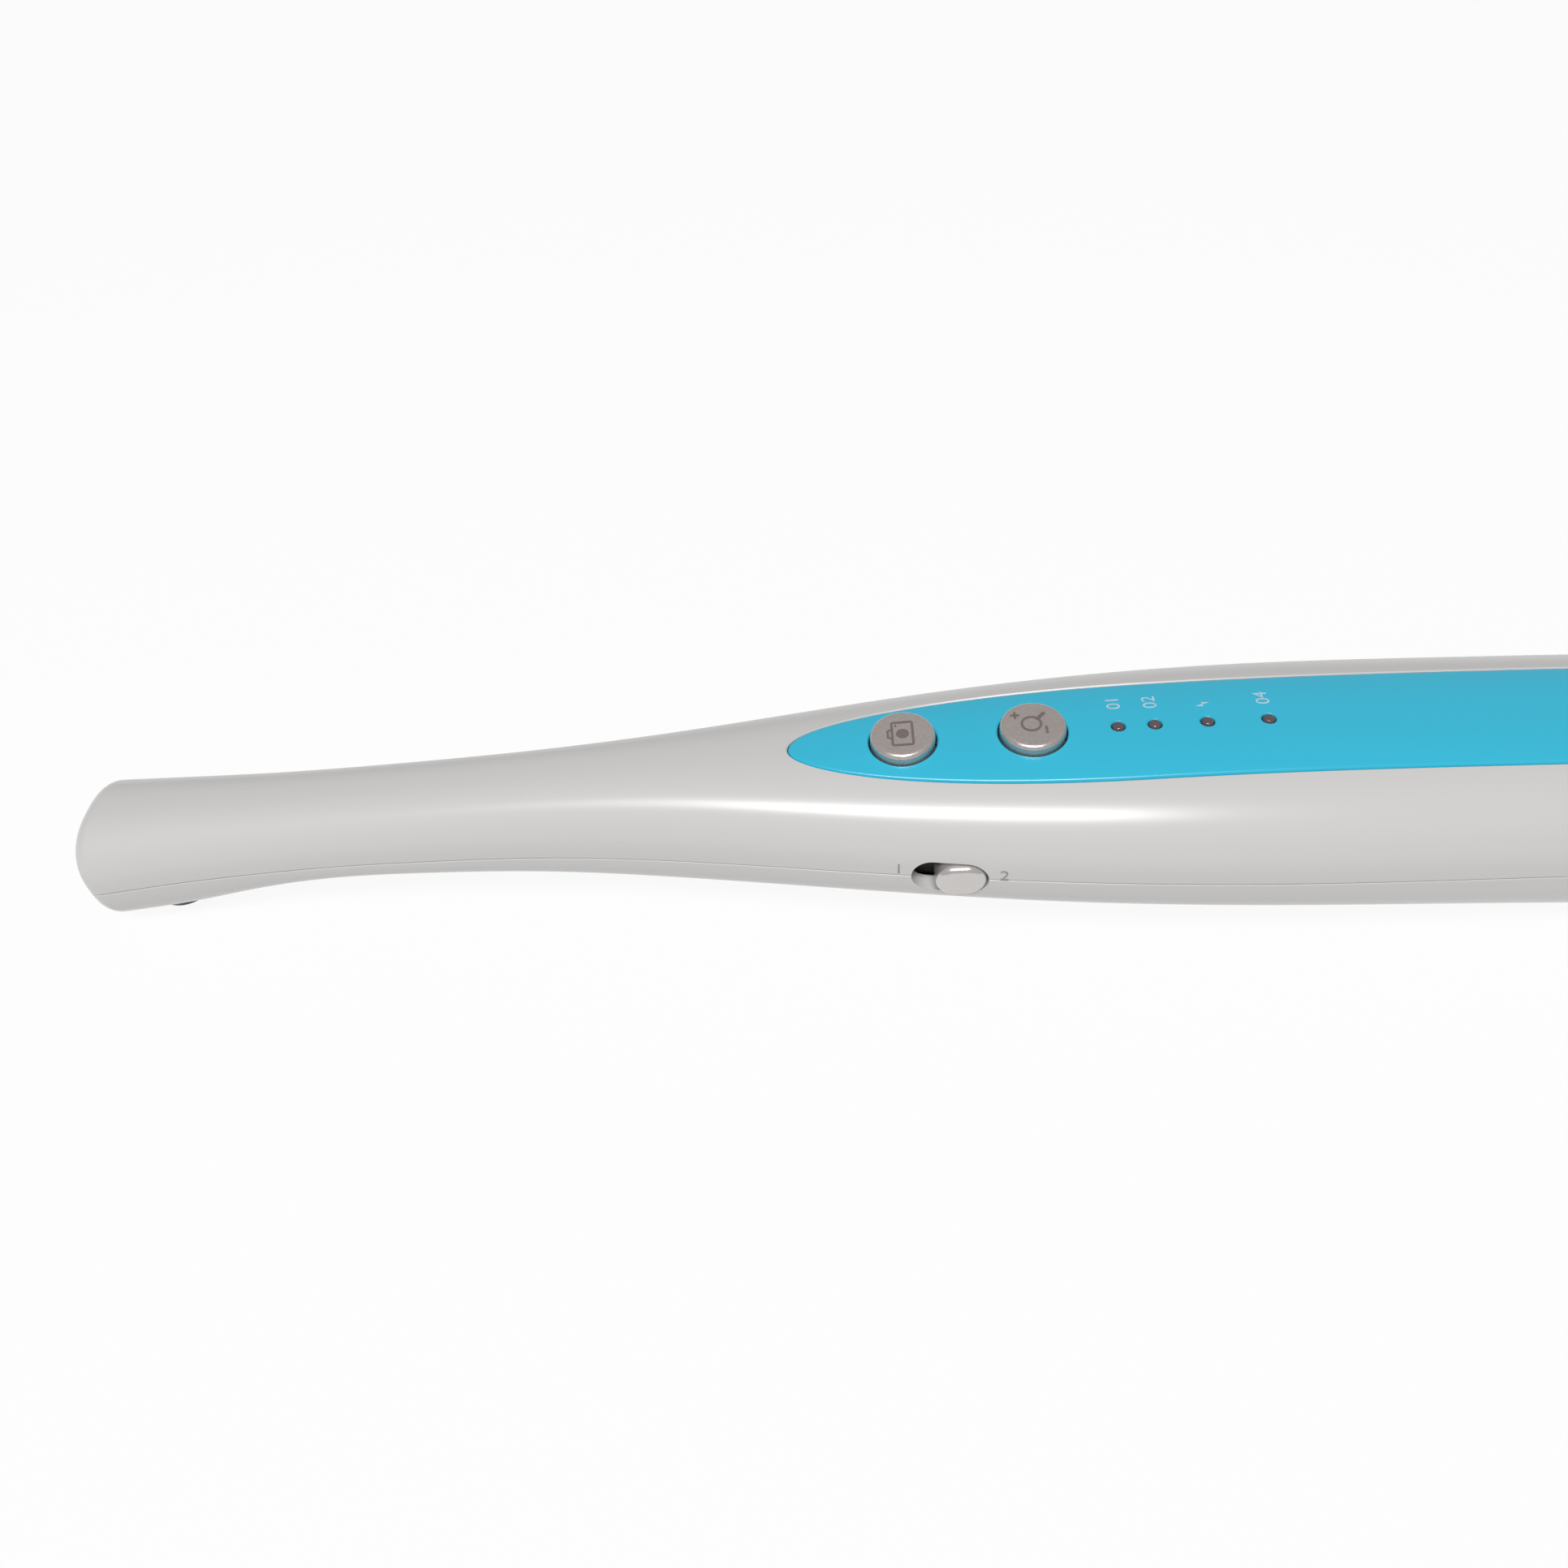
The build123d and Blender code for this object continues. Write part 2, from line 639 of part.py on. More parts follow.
def knob_middle():
    """X of the knob's middle at rest, at the tail end of its slot."""
    return along(SLIDE_AT) + SLOT_LENGTH / 2 - KNOB_CLEARANCE - KNOB_LENGTH / 2


def knob_inner():
    return -side_at(SLIDE_AT, SLIDE_HEIGHT) + KNOB_REACH_IN


def make_knob():
    """A rounded thumb piece in the slot, hollowed at the back for the lever."""
    outline = SlotOverall(KNOB_LENGTH, SLOT_WIDTH - 2 * KNOB_CLEARANCE)
    plane = Plane(
        origin=(knob_middle(), knob_inner(), SLIDE_HEIGHT), x_dir=(1, 0, 0), z_dir=(0, -1, 0)
    )
    knob = extrude(plane * outline, KNOB_REACH_IN + KNOB_PROUD)
    knob = fillet(knob.edges().group_by(Axis.Y)[0], KNOB_EDGE)
    half = LEVER / 2 + LEVER_CLEARANCE
    pocket = block(
        (knob_middle() - half, knob_inner() - LEVER_SUNK - LEVER_CLEARANCE, SLIDE_HEIGHT - half),
        (knob_middle() + half, knob_inner() + SLIDE_GAP, SLIDE_HEIGHT + half),
    )
    return knob - pocket


def make_lever():
    half = LEVER / 2
    inside = knob_inner() + SLIDE_GAP + SLIDE_BODY[1] / 2
    return block(
        (knob_middle() - half, knob_inner() - LEVER_SUNK, SLIDE_HEIGHT - half),
        (knob_middle() + half, inside, SLIDE_HEIGHT + half),
    )


def make_slide_body():
    """The slide switch on the main board, with the slot that its lever runs in."""
    length, depth, height = SLIDE_BODY
    front = knob_inner() + SLIDE_GAP
    middle = knob_middle() - SLIDE_TRAVEL / 2
    body = block(
        (middle - length / 2, front, BOARD_TOP),
        (middle + length / 2, front + depth, BOARD_TOP + height),
    )
    body = chamfer(body.edges().filter_by(Axis.Z), depth / 10)
    room = (LEVER + SLIDE_TRAVEL) / 2 + LEVER_SIDE_ROOM
    half = LEVER / 2 + 2 * LEVER_CLEARANCE
    slot = block(
        (middle - room, front - SLIDE_GAP, SLIDE_HEIGHT - half),
        (middle + room, front + depth / 2 + LEVER_SIDE_ROOM, SLIDE_HEIGHT + half),
    )
    return body - slot


def make_main_board():
    """A board as wide as the housing lets it be, with holes for the housing screws."""
    inset = WALL + BOARD_CLEARANCE
    inside = inner_form(inset, BOARD_START, LENGTH - TAIL_WALL - BOARD_CLEARANCE)
    slab = block(
        (along(BOARD_START), -GRIP.half_width, BOARD_BOTTOM),
        (HALF_LENGTH, GRIP.half_width, BOARD_TOP),
    )
    board = inside & slab
    for at, side in SCREW_PLACES:
        hole = column(SCREW_RADIUS + SCREW_CLEARANCE, 0, GRIP.top)
        board -= Pos(along(at), side, 0) * hole
    return board


def make_chip(at, size, low):
    length, width, height = size
    chip = block((-length / 2, -width / 2, low), (length / 2, width / 2, low + height))
    chip = chamfer(chip.edges().group_by(Axis.Z)[-1], height / 8)
    return Pos(along(at), 0, 0) * chip


def make_wireless_module():
    """A can on the underside of the main board."""
    length, width, height = WIRELESS
    can = block((-length / 2, -width / 2, BOARD_BOTTOM - height), (length / 2, width / 2, BOARD_BOTTOM))
    can = fillet(can.edges().group_by(Axis.Z)[0] + can.edges().filter_by(Axis.Z), height / 4)
    return Pos(along(WIRELESS_AT), 0, 0) * can


def make_antenna():
    return Pos(0, ANTENNA_SIDE, 0) * make_chip(ANTENNA_AT, ANTENNA, BOARD_TOP)


def make_battery():
    length, width, height = BATTERY
    low = BOARD_TOP + BATTERY_PAD
    start = along(BATTERY_START)
    cell = block((start, -width / 2, low), (start + length, width / 2, low + height))
    return fillet(cell.edges().filter_by(Axis.X), BATTERY_ROUND)


def make_battery_pads():
    length, width, _ = BATTERY
    start = along(BATTERY_START)
    pads = []
    for share in (0.2, 0.8):
        middle = start + length * share
        pads.append(
            block(
                (middle - width / 3, -width / 3, BOARD_TOP),
                (middle + width / 3, width / 3, BOARD_TOP + BATTERY_PAD),
            )
        )
    return pads


def make_battery_tabs():
    """Two strips from the front of the cell, bent down to the main board."""
    front = along(BATTERY_START)
    height = BOARD_TOP + BATTERY_PAD + BATTERY[2] / 2
    foot = BOARD_TOP + TAB_THICKNESS / 2
    points = [
        (front, height),
        (front - TAB_REACH, height),
        (front - TAB_REACH, foot),
        (front - TAB_REACH / 3, foot),
    ]
    tab = strip(points, TAB_THICKNESS, TAB_WIDTH)
    return [Pos(0, side * TAB_SIDE, 0) * tab for side in (-1, 1)]


def make_data_socket():
    """A thin metal tube with rounded corners, open at the tail."""
    length, width, height = SOCKET
    outline = RectangleRounded(width, height, height / 3)
    bore = RectangleRounded(width - 2 * SOCKET_WALL, height - 2 * SOCKET_WALL, height / 3 - SOCKET_WALL)
    start = HALF_LENGTH - SOCKET_RECESS - length
    plane = Plane(origin=(start, 0, socket_height()), x_dir=(0, 1, 0), z_dir=(1, 0, 0))
    tube = extrude(plane * outline, length)
    return tube - extrude(plane.offset(SOCKET_WALL) * bore, length)


def make_socket_tongue():
    length, width, _ = SOCKET
    start = HALF_LENGTH - SOCKET_RECESS - length + SOCKET_WALL
    half = TONGUE_THICKNESS / 2
    tongue = block(
        (start, -width / 3, socket_height() - half),
        (start + length * 0.7, width / 3, socket_height() + half),
    )
    return chamfer(tongue.edges().group_by(Axis.X)[-1], half / 3)


def make_bezel():
    """A black ring that holds the window behind a lip and stands a little out of the head."""
    inner = BEZEL_RADIUS - BEZEL_WALL
    ring = column(BEZEL_RADIUS, -BEZEL_PROUD, BEZEL_DEPTH)
    ring = fillet(ring.edges().group_by(Axis.Z)[0], BEZEL_EDGE)
    ring -= column(inner, -BEZEL_PROUD + WINDOW_SUNK + BEZEL_LIP, BEZEL_DEPTH + 1)
    ring -= column(inner - BEZEL_LIP, -BEZEL_PROUD - 1, BEZEL_DEPTH)
    return in_head(ring)


def make_window():
    low = -BEZEL_PROUD + WINDOW_SUNK + BEZEL_LIP
    return in_head(column(BEZEL_RADIUS - BEZEL_WALL - BEZEL_CLEARANCE, low, low + WINDOW_THICKNESS))


def make_ring_board():
    high = RING_BOARD_AT + RING_BOARD_THICKNESS
    ring = column(BEZEL_RADIUS - BEZEL_WALL - BEZEL_CLEARANCE, RING_BOARD_AT, high)
    ring -= column(BARREL_RADIUS + BEZEL_CLEARANCE, RING_BOARD_AT - 1, high + 1)
    return in_head(ring)


def make_head_leds():
    middle = (BARREL_RADIUS + BEZEL_RADIUS - BEZEL_WALL) / 2
    chip = Pos(middle, 0, RING_BOARD_AT - HEAD_LIGHT[2] / 2) * Box(*HEAD_LIGHT)
    turn = 360 / HEAD_LIGHTS
    return [in_head(Rot(0, 0, turn * (n + 0.5)) * chip) for n in range(HEAD_LIGHTS)]


def make_barrel():
    end = BARREL_START + BARREL_LENGTH
    barrel = column(BARREL_RADIUS, BARREL_START, end)
    inner = BARREL_RADIUS - BARREL_WALL
    barrel -= column(inner, BARREL_START + BARREL_WALL, end + 1)
    barrel -= column(inner * 0.7, BARREL_START - 1, end)
    return in_head(barrel)


def make_lens(start):
    """A lens of two shallow domes on one rim: what two large balls and the barrel's bore share."""
    radius = BARREL_RADIUS - BARREL_WALL - LENS_CLEARANCE
    dome = LENS_THICKNESS / 3
    ball = (radius**2 + dome**2) / (2 * dome)
    lens = column(radius, start, start + LENS_THICKNESS)
    lens &= Pos(0, 0, start + ball) * Sphere(ball)
    lens &= Pos(0, 0, start + LENS_THICKNESS - ball) * Sphere(ball)
    return in_head(lens)


def make_lens_mount():
    """A square block with a bore for the barrel and a hollow over the sensor."""
    half, high = MOUNT_SIDE / 2, sensor_board_bottom()
    mount = block((-half, -half, MOUNT_START), (half, half, high))
    mount = fillet(mount.edges().filter_by(Axis.Z), half / 5)
    room = SENSOR[0] / 2 + SENSOR_ROOM
    mount -= block((-room, -room, high - SENSOR[2] - SENSOR_ROOM), (room, room, high))
    mount -= column(BARREL_RADIUS + BEZEL_CLEARANCE, MOUNT_START, high)
    return in_head(mount)


def make_sensor():
    high = sensor_board_bottom()
    length, width, height = SENSOR
    return in_head(block((-length / 2, -width / 2, high - height), (length / 2, width / 2, high)))


def make_sensor_board():
    length, width, height = SENSOR_BOARD
    plan = Pos(SENSOR_BOARD_SHIFT, 0, sensor_board_bottom()) * RectangleRounded(length, width, 0.8)
    return in_head(extrude(plan, height))


def make_flex_connector():
    """A block on the front edge of the main board, slotted half through for the flat cable."""
    length, width, height = FLEX_CONNECTOR
    start = along(CONNECTOR_AT)
    body = block((start, -width / 2, BOARD_TOP), (start + length, width / 2, BOARD_TOP + height))
    middle = BOARD_TOP + height / 2
    half_gap = FLEX_THICKNESS / 2 + FLEX_CLEARANCE
    half_width = FLEX_WIDTH / 2 + FLEX_CLEARANCE
    slot = block(
        (start, -half_width, middle - half_gap),
        (start + length / 2, half_width, middle + half_gap),
    )
    return body - slot


def make_camera_flex():
    """Flat cable from the sensor board's upper face, through the neck, into its connector."""
    top = sensor_board_bottom() + SENSOR_BOARD[2] + FLEX_THICKNESS / 2
    start = LENS_FRAME.from_local_coords(Vector(SENSOR_BOARD_SHIFT, 0, top))
    straight = SENSOR_BOARD_SHIFT + SENSOR_BOARD[0] / 2 + FLEX_RUN_OUT
    leave = LENS_FRAME.from_local_coords(Vector(straight, 0, top))
    height = BOARD_TOP + FLEX_CONNECTOR[2] / 2
    arrive = along(CONNECTOR_AT) + FLEX_CONNECTOR[0] / 2 - FLEX_CLEARANCE
    route = [(start.X, start.Z), (leave.X, leave.Z)]
    route += [(along(at), over) for at, over in FLEX_ROUTE]
    route += [(along(BOARD_START) - 2 * FLEX_RUN_OUT, height), (arrive, height)]
    return strip(route, FLEX_THICKNESS, FLEX_WIDTH, FLEX_BEND)


def make_key_flex():
    """Flat cable between the rear end of the key board and the main board."""
    low = KEY_BOARD_BOTTOM - FLEX_THICKNESS / 2
    start = PANEL_FRAME.from_local_coords(Vector(KEY_BOARD_REAR - KEY_FLEX_WIDTH, 0, low))
    leave = PANEL_FRAME.from_local_coords(Vector(KEY_BOARD_REAR + 2 * KEY_FLEX_BEND, 0, low))
    foot = BOARD_TOP + FLEX_THICKNESS / 2
    points = [(start.X, start.Z), (leave.X, leave.Z), (leave.X, foot), (leave.X - KEY_FLEX_FOOT, foot)]
    return strip(points, FLEX_THICKNESS, KEY_FLEX_WIDTH, KEY_FLEX_BEND)


def joined(pieces):
    """Separate solids kept in one node."""
    return Compound(children=pieces)


def build():
    upper, lower = outer_half("upper"), outer_half("lower", SEAM_GAP)
    floor = inner_form(PANEL_THICKNESS, PANEL_START - PANEL_NOSE, LENGTH - TAIL_ROUND)
    middle = inner_form(WALL / 2, WALL / 2, LENGTH - TAIL_WALL / 2)
    cavity = inner_form(WALL, WALL, LENGTH - TAIL_WALL)
    nodes = {
        "upper_shell": make_upper_shell(upper, floor, middle, cavity),
        "lower_shell": make_lower_shell(lower, middle, cavity),
        "control_panel": make_panel(upper, floor),
        "key_board": make_key_board(),
        "key_board_screws": joined(make_key_screws()),
        "indicator_light_guide": make_light_guide(),
        "indicator_leds": joined(make_indicator_leds()),
        "mode_switch_knob": make_knob(),
        "mode_switch_lever": make_lever(),
        "mode_switch_body": make_slide_body(),
        "main_board": make_main_board(),
        "image_processor": make_chip(PROCESSOR_AT, PROCESSOR, BOARD_TOP),
        "wireless_module": make_wireless_module(),
        "antenna": make_antenna(),
        "battery": make_battery(),
        "battery_pads": joined(make_battery_pads()),
        "battery_tabs": joined(make_battery_tabs()),
        "data_socket": make_data_socket(),
        "data_socket_tongue": make_socket_tongue(),
        "key_flex": make_key_flex(),
        "camera_flex": make_camera_flex(),
        "flex_connector": make_flex_connector(),
        "sensor_board": make_sensor_board(),
        "image_sensor": make_sensor(),
        "lens_mount": make_lens_mount(),
        "lens_barrel": make_barrel(),
        "front_lens": make_lens(BARREL_START + BARREL_WALL),
        "rear_lens": make_lens(BARREL_START + BARREL_LENGTH - LENS_THICKNESS),
        "light_board": make_ring_board(),
        "head_leds": joined(make_head_leds()),
        "lens_window": make_window(),
        "lens_bezel": make_bezel(),
        "housing_screws": joined(make_housing_screws()),
    }
    for name, across in BUTTONS.items():
        nodes[name + "_button"] = on_panel(make_button(), across)
        nodes[name + "_plunger"] = on_panel(make_plunger(), across)
        nodes[name + "_switch"] = on_panel(make_push_switch(), across)
    return nodes


os.makedirs("parts", exist_ok=True)
for node, shape in build().items():
    export_step(shape, f"parts/{node}.step")
print("panel tilt", round(degrees(PANEL_TILT), 2), "travel", BUTTON_TRAVEL)
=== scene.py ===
"""Looks of a cordless intraoral camera: a slim pearl silver handle with a bent head, a blue control
panel with two round buttons and four indicators, a slide switch on its near side and a small lens
under its head. Sizes are in millimetres, counted along the body from the nose, and turned into the
frame's metres where a mesh is made."""

import json
import logging
import math
from dataclasses import dataclass, field
from enum import Enum
from typing import Any, Callable, Sequence

import bmesh
import bpy
import numpy as np
from mathutils import Matrix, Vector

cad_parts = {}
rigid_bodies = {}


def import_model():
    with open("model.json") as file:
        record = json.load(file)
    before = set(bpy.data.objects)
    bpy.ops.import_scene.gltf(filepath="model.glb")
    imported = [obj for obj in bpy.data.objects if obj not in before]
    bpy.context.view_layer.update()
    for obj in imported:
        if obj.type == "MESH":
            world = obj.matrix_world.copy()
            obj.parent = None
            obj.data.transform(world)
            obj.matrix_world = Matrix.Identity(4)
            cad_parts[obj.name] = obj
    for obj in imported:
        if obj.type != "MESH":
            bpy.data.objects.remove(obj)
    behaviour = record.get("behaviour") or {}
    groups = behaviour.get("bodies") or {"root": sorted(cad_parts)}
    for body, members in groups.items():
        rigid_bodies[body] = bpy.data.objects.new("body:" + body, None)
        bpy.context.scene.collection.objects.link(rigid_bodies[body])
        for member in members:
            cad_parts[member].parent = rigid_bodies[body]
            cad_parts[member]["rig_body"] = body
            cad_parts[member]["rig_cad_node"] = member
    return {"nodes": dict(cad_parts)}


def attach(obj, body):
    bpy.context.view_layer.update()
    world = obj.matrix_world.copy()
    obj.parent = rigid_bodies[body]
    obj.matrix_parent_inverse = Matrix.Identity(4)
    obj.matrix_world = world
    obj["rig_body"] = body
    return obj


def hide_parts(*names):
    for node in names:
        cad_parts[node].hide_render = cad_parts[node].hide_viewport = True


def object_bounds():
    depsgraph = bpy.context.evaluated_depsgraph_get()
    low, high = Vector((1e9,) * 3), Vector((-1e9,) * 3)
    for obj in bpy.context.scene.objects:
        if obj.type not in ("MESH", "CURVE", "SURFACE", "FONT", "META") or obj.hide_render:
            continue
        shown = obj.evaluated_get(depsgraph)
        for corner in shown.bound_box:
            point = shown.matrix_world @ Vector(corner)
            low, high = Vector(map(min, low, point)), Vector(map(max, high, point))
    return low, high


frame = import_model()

LOG = logging.getLogger("intraoral_camera")
MM = 0.001
MERGE = 2e-7
SLIVER = 1e-8
CAD_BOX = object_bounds()


# Meshes

def ring_faces(rows: int, count: int) -> np.ndarray:
    """Quads that join each ring of a stack to the next one.

    Args:
        rows: Number of rings.
        count: Number of points in each ring.

    Returns:
        An array of four point numbers for each quad.
    """
    row, step = np.meshgrid(np.arange(rows - 1), np.arange(count), indexing="ij")
    after = (step + 1) % count
    quads = [row * count + step, row * count + after, (row + 1) * count + after, (row + 1) * count + step]
    return np.stack(quads, -1).reshape(-1, 4)


def signed_volume(mesh: bpy.types.Mesh) -> float:
    """Volume inside a closed mesh, summed as a sixth of a . (b x c) over its triangles.

    Args:
        mesh: A closed mesh.

    Returns:
        The volume, negative where the faces point inwards.
    """
    mesh.calc_loop_triangles()
    corners = np.zeros(len(mesh.loop_triangles) * 3, np.int32)
    mesh.loop_triangles.foreach_get("vertices", corners)
    points = np.zeros(len(mesh.vertices) * 3)
    mesh.vertices.foreach_get("co", points)
    a, b, c = points.reshape(-1, 3)[corners.reshape(-1, 3)].transpose(1, 0, 2)
    return float(np.einsum("ij,ij->i", a, np.cross(b, c)).sum() / 6)


def finish_mesh(mesh: bpy.types.Mesh, sharp: float = 32.0) -> bpy.types.Mesh:
    """Closes seams and poles, turns the faces outwards and smooths all but sharp edges.

    Args:
        mesh: The mesh to finish.
        sharp: Edges that bend by more than this many degrees stay sharp.

    Returns:
        The same mesh.
    """
    work = bmesh.new()
    work.from_mesh(mesh)
    bmesh.ops.remove_doubles(work, verts=work.verts, dist=MERGE)
    bmesh.ops.dissolve_degenerate(work, edges=work.edges, dist=SLIVER)
    work.to_mesh(mesh)
    work.free()
    if signed_volume(mesh) < 0:
        mesh.flip_normals()
    mesh.shade_smooth()
    mesh.set_sharp_from_angle(angle=math.radians(sharp))
    return mesh


def new_piece(name: str, mesh: bpy.types.Mesh) -> bpy.types.Object:
    """Puts a mesh into the scene as an object at the origin."""
    piece = bpy.data.objects.new(name, mesh)
    bpy.context.scene.collection.objects.link(piece)
    return piece


def from_rings(name: str, rings: np.ndarray, caps: bool = False, sharp: float = 32.0) -> bpy.types.Object:
    """A closed skin over a stack of rings.

    Args:
        name: Name of the piece.
        rings: Points in millimetres, as rings by points by three.
        caps: Whether each end ring is closed by a fan to its middle.
        sharp: Edges that bend by more than this many degrees stay sharp.

    Returns:
        The piece, its place in its mesh, in metres.
    """
    rows, count, _ = rings.shape
    points = rings.reshape(-1, 3)
    faces = ring_faces(rows, count).tolist()
    if caps:
        points = np.concatenate([points, rings[[0, -1]].mean(axis=1)])
        step = np.arange(count)
        after = (step + 1) % count
        first, last = np.full(count, rows * count), np.full(count, rows * count + 1)
        foot = (rows - 1) * count
        faces += np.stack([first, after, step], -1).tolist()
        faces += np.stack([foot + step, foot + after, last], -1).tolist()
    mesh = bpy.data.meshes.new(name)
    mesh.from_pydata((points * MM).tolist(), [], faces)
    return new_piece(name, finish_mesh(mesh, sharp))


def applied(piece: bpy.types.Object) -> None:
    """Makes a piece's modifiers part of its mesh.

    Args:
        piece: The piece, which keeps its name and loses its modifiers.
    """
    bpy.context.view_layer.update()
    shown = piece.evaluated_get(bpy.context.evaluated_depsgraph_get())
    mesh = bpy.data.meshes.new_from_object(shown)
    mesh.name = piece.name
    piece.modifiers.clear()
    old, piece.data = piece.data, mesh
    bpy.data.meshes.remove(old)


def cut(piece: bpy.types.Object, cutters: Sequence[bpy.types.Object], sharp: float = 32.0) -> None:
    """Takes the cutters' volumes out of a piece and deletes the cutters.

    Args:
        piece: The piece to cut.
        cutters: Closed pieces that may overlap each other.
        sharp: Edges that bend by more than this many degrees stay sharp.
    """
    for cutter in cutters:
        boolean = piece.modifiers.new("cut", "BOOLEAN")
        boolean.operation, boolean.solver, boolean.object = "DIFFERENCE", "EXACT", cutter
    applied(piece)
    for cutter in cutters:
        bpy.data.objects.remove(cutter)
    finish_mesh(piece.data, sharp)


def smoothed_copy(node: str, name: str, sharp: float = 28.0) -> bpy.types.Object:
    """A joined and smoothed copy of a CAD node's own form, which stands for that node.

    Args:
        node: Name of the node.
        name: Name of the copy.
        sharp: Edges that bend by more than this many degrees stay sharp.

    Returns:
        The copy, without a material.
    """
    mesh = frame["nodes"][node].data.copy()
    mesh.name = name
    mesh.materials.clear()
    piece = new_piece(name, finish_mesh(mesh, sharp))
    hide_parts(node)
    return piece


# Node trees

class Wire:
    """A socket's value in a node tree. Arithmetic on it adds Math nodes."""

    def __init__(self, tree: "Tree", socket: bpy.types.NodeSocket) -> None:
        """Keeps the tree and the socket that carries the value."""
        self.tree, self.socket = tree, socket

    def _math(self, operation: str, first: Any, second: Any) -> "Wire":
        """One Math node on two values, either of which may be a number."""
        return self.tree.add("ShaderNodeMath", {"operation": operation}, {0: first, 1: second})

    def __add__(self, other: Any) -> "Wire":
        """This value plus another."""
        return self._math("ADD", self, other)

    __radd__ = __add__

    def __mul__(self, other: Any) -> "Wire":
        """This value times another."""
        return self._math("MULTIPLY", self, other)

    __rmul__ = __mul__

    def spread(self, low: float, high: float, to_low: float, to_high: float) -> "Wire":
        """This value carried from one range to another and held inside it."""
        inputs = {"Value": self, "From Min": low, "From Max": high, "To Min": to_low, "To Max": to_high}
        return self.tree.add("ShaderNodeMapRange", {"clamp": True}, inputs)


class Tree:
    """A node tree being written."""

    def __init__(self, tree: bpy.types.NodeTree) -> None:
        """Starts on an emptied tree."""
        self.tree = tree
        tree.nodes.clear()

    def add(self, kind: str, settings: dict[str, Any], inputs: dict[Any, Any], output: Any = 0) -> Wire:
        """Adds any node.

        Args:
            kind: The node's type.
            settings: Properties of the node, set first.
            inputs: Values or wires by socket name or number.
            output: Name or number of the output wanted.

        Returns:
            The wanted output as a wire.
        """
        node = self.tree.nodes.new(kind)
        for key, value in settings.items():
            setattr(node, key, value)
        for key, value in inputs.items():
            if isinstance(value, Wire):
                self.tree.links.new(value.socket, node.inputs[key])
            else:
                node.inputs[key].default_value = value
        return Wire(self, node.outputs[output] if len(node.outputs) else None)

    def place(self) -> Wire:
        """Object coordinates of the point being shaded."""
        return self.add("ShaderNodeTexCoord", {}, {}, "Object")

    def noise(self, size: float, detail: float = 2.0, where: Wire | None = None) -> Wire:
        """Soft noise whose lumps are about a given size in millimetres."""
        inputs = {"Vector": where or self.place(), "Scale": 1 / (size * MM), "Detail": detail}
        return self.add("ShaderNodeTexNoise", {}, inputs, "Fac")

    def cells(self, size: float) -> Wire:
        """A random level for each small cell, in a grain of a given size in millimetres."""
        inputs = {"Vector": self.place(), "Scale": 1 / (size * MM)}
        colour = self.add("ShaderNodeTexVoronoi", {}, inputs, "Color")
        return self.add("ShaderNodeSeparateColor", {}, {"Color": colour}, 0)

    def eye_ray(self) -> Wire:
        """One for what the camera sees, itself or in gloss and glass, and nothing for other light."""
        names = ("Is Camera Ray", "Is Glossy Ray", "Is Transmission Ray")
        camera, glossy, through = (self.add("ShaderNodeLightPath", {}, {}, name) for name in names)
        return (camera + glossy + through).spread(0.0, 1.0, 0.0, 1.0)

    def blend(self, share: Any, first: Any, second: Any) -> Wire:
        """A colour between two, by a share from 0 to 1."""
        inputs = {"Factor": share, 6: first, 7: second}
        return self.add("ShaderNodeMix", {"data_type": "RGBA"}, inputs, 2)

    def bump(self, height: Wire, depth: float) -> Wire:
        """A normal tilted by a height between 0 and 1 that stands for a depth in millimetres."""
        inputs = {"Height": height, "Distance": depth * MM, "Strength": 1.0}
        return self.add("ShaderNodeBump", {}, inputs, "Normal")


Colour = tuple[float, float, float]


def linear(red: int, green: int, blue: int) -> Colour:
    """A display colour from 0 to 255 as linear light."""
    share = np.array([red, green, blue]) / 255
    light = np.where(share <= 0.04045, share / 12.92, ((share + 0.055) / 1.055) ** 2.4)
    return tuple(float(value) for value in light)


def full(colour: Colour) -> tuple[float, float, float, float]:
    """A colour with its alpha."""
    return (*colour, 1.0)


@dataclass(frozen=True)
class Finish:
    """What every finish has: a name, the record's slot and a principled surface."""

    name: str
    slot: str

    def surface(self, tree: Tree) -> dict[str, Any]:
        """Inputs of the principled surface, as values or wires. Each finish gives its own."""
        raise NotImplementedError

    def material(self) -> bpy.types.Material:
        """The finish as a material, made once."""
        known = bpy.data.materials.get(self.name)
        if known:
            return known
        made = bpy.data.materials.new(self.name)
        made.use_nodes = True
        tree = Tree(made.node_tree)
        shader = tree.add("ShaderNodeBsdfPrincipled", {}, self.surface(tree), "BSDF")
        tree.add("ShaderNodeOutputMaterial", {}, {"Surface": shader})
        return made

    def dress(self, piece: bpy.types.Object) -> None:
        """Gives a piece this finish and no other.

        Args:
            piece: A new piece, or a CAD node's own object, whose slots are already named.
        """
        made = self.material()
        if len(piece.data.materials):
            for slot in piece.material_slots:
                slot.material = made
        else:
            piece.data.materials.append(made)


